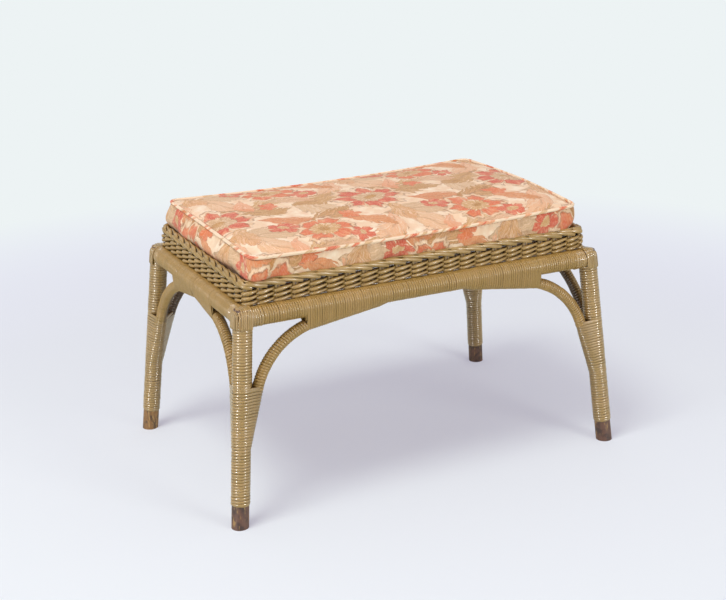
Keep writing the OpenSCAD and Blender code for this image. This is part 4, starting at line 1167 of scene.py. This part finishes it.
def pipingCotton(name, s):
    # a bias strip of the same cloth round a cord: short lengths of cream, peach and coral, cut slanted
    finish, add, shader = newFinish(name)
    run, rim = [add("Attribute", attribute_name=key).outputs for key in ("run", "rim")]
    rimSplit = add("SeparateXYZ", rim["Vector"]).outputs
    slant = add("MULTIPLY_ADD", rimSplit["Y"], 0.008, run["Fac"])
    spot = add("CombineXYZ", slant, add("MULTIPLY", rimSplit["X"], 0.006))
    length = add("TexNoise", spot, Scale=30.0, Detail=2.0)
    mark = add("TexNoise", spot, Scale=420.0, Detail=2.0)
    tone = add("Mix RGBA", mark, s["cream"], s["ground"])
    for low, high, code in ((0.53, 0.55, "peach"), (0.585, 0.6, "coral"), (0.43, 0.415, "beige"),
                            (0.36, 0.345, "orange")):
        tone = add("Mix RGBA", add("MapRange", length, low, high), tone, s[code])
    pale = add("Mix RGBA", add("MapRange", mark, 0.5, 0.7, 0.0, 0.45), tone, s["cream"])
    fill(shader, Base_Color=pale, Roughness=0.8, **s["softness"])
    return finish


clothFinish = printedCotton("printed_cotton_cover", printShape)
pipingFinish = pipingCotton("printed_cotton_piping", printShape)


def finishCover(cover, seamTop):
    s = cushionShape
    rounded = cover.modifiers.new("round", "SUBSURF")
    rounded.levels = rounded.render_levels = 1
    plainMesh(cover, clothFinish)
    # puckers run off both seams and die away within a few centimetres
    mesh = cover.data
    count = len(mesh.vertices)
    spots, normals = np.zeros(count * 3), np.zeros(count * 3)
    mesh.vertices.foreach_get("co", spots)
    mesh.vertices.foreach_get("normal", normals)
    spots, normals = spots.reshape(-1, 3), normals.reshape(-1, 3)
    seam = np.array(seamTop)
    run = np.concatenate([[0], np.cumsum(np.linalg.norm(np.diff(seam, axis=0), axis=1))])
    tree = KDTree(len(seam))
    for k, spot in enumerate(seam):
        tree.insert(spot, k)
    tree.balance()
    gather, seamShade = np.zeros(count), np.zeros(count)
    for k, spot in enumerate(spots):
        if spot[2] < collarTopZ - 10 * mm:
            continue
        found, index, distance = tree.find(spot)
        r = run[index] / mm
        wave = math.sin(r / 4.1 + 2.2 * math.sin(r / 31)) + 0.4 * math.sin(r / 2.3)
        wave += 0.7 * math.sin(r / 7.3 + 1.4 * math.sin(r / 19 + 2))
        reach, strength = s["bandPuckers"] if spot[2] < found[2] - s["seamBelow"] else s["topPuckers"]
        fade = math.exp(-distance / reach) * min(1, distance / s["puckerStart"])
        gather[k] = wave * fade * (0.45 + 0.55 * math.sin(r / 83 + 1) ** 2) * strength
        # the painted shadow beside the piping fades out over a few millimetres
        seamShade[k] = max(0, 1 - distance / s["seamShadeReach"])
    spots += normals * (gather * s["puckers"])[:, None]
    mesh.vertices.foreach_set("co", spots.ravel())
    mesh.polygons.foreach_set("use_smooth", [True] * len(mesh.polygons))
    mesh.attributes.new("seam", "FLOAT", "POINT").data.foreach_set("value", seamShade.astype(np.float32))
    mesh.update()
    hold(cover, "cushion", "cushion_cloth", "cushion_top_panel", "cushion_side_band", "cushion_bottom_panel",
         "cushion_filling")


def pipe(name, node, seam, lift):
    s = cushionShape
    points, width = np.array(seam), 2 * s["pipingRadius"]
    smooth = (np.roll(points, 1, 0) + 2 * points + np.roll(points, -1, 0)) / 4
    ahead = unit(np.roll(smooth, -1, 0) - np.roll(smooth, 1, 0))
    outward = unit(np.stack([ahead[:, 1], -ahead[:, 0], np.zeros(len(ahead))], axis=1))
    smooth = smooth + outward * s["pipingOut"] + np.array([0, 0, lift])
    path = dict(points=smooth, outward=outward, closed=True)
    hold(reedPiece(name, [path], width, width, pipingFinish, sides=12), "cushion", "piping", node)


finishCover(cover, seamTop)
pipe("cushion_top_piping", "cushion_top_welt", seamTop, 0.2 * mm)
pipe("cushion_bottom_piping", "cushion_bottom_welt", seamLow, 0.0)
print("cushion sewn")
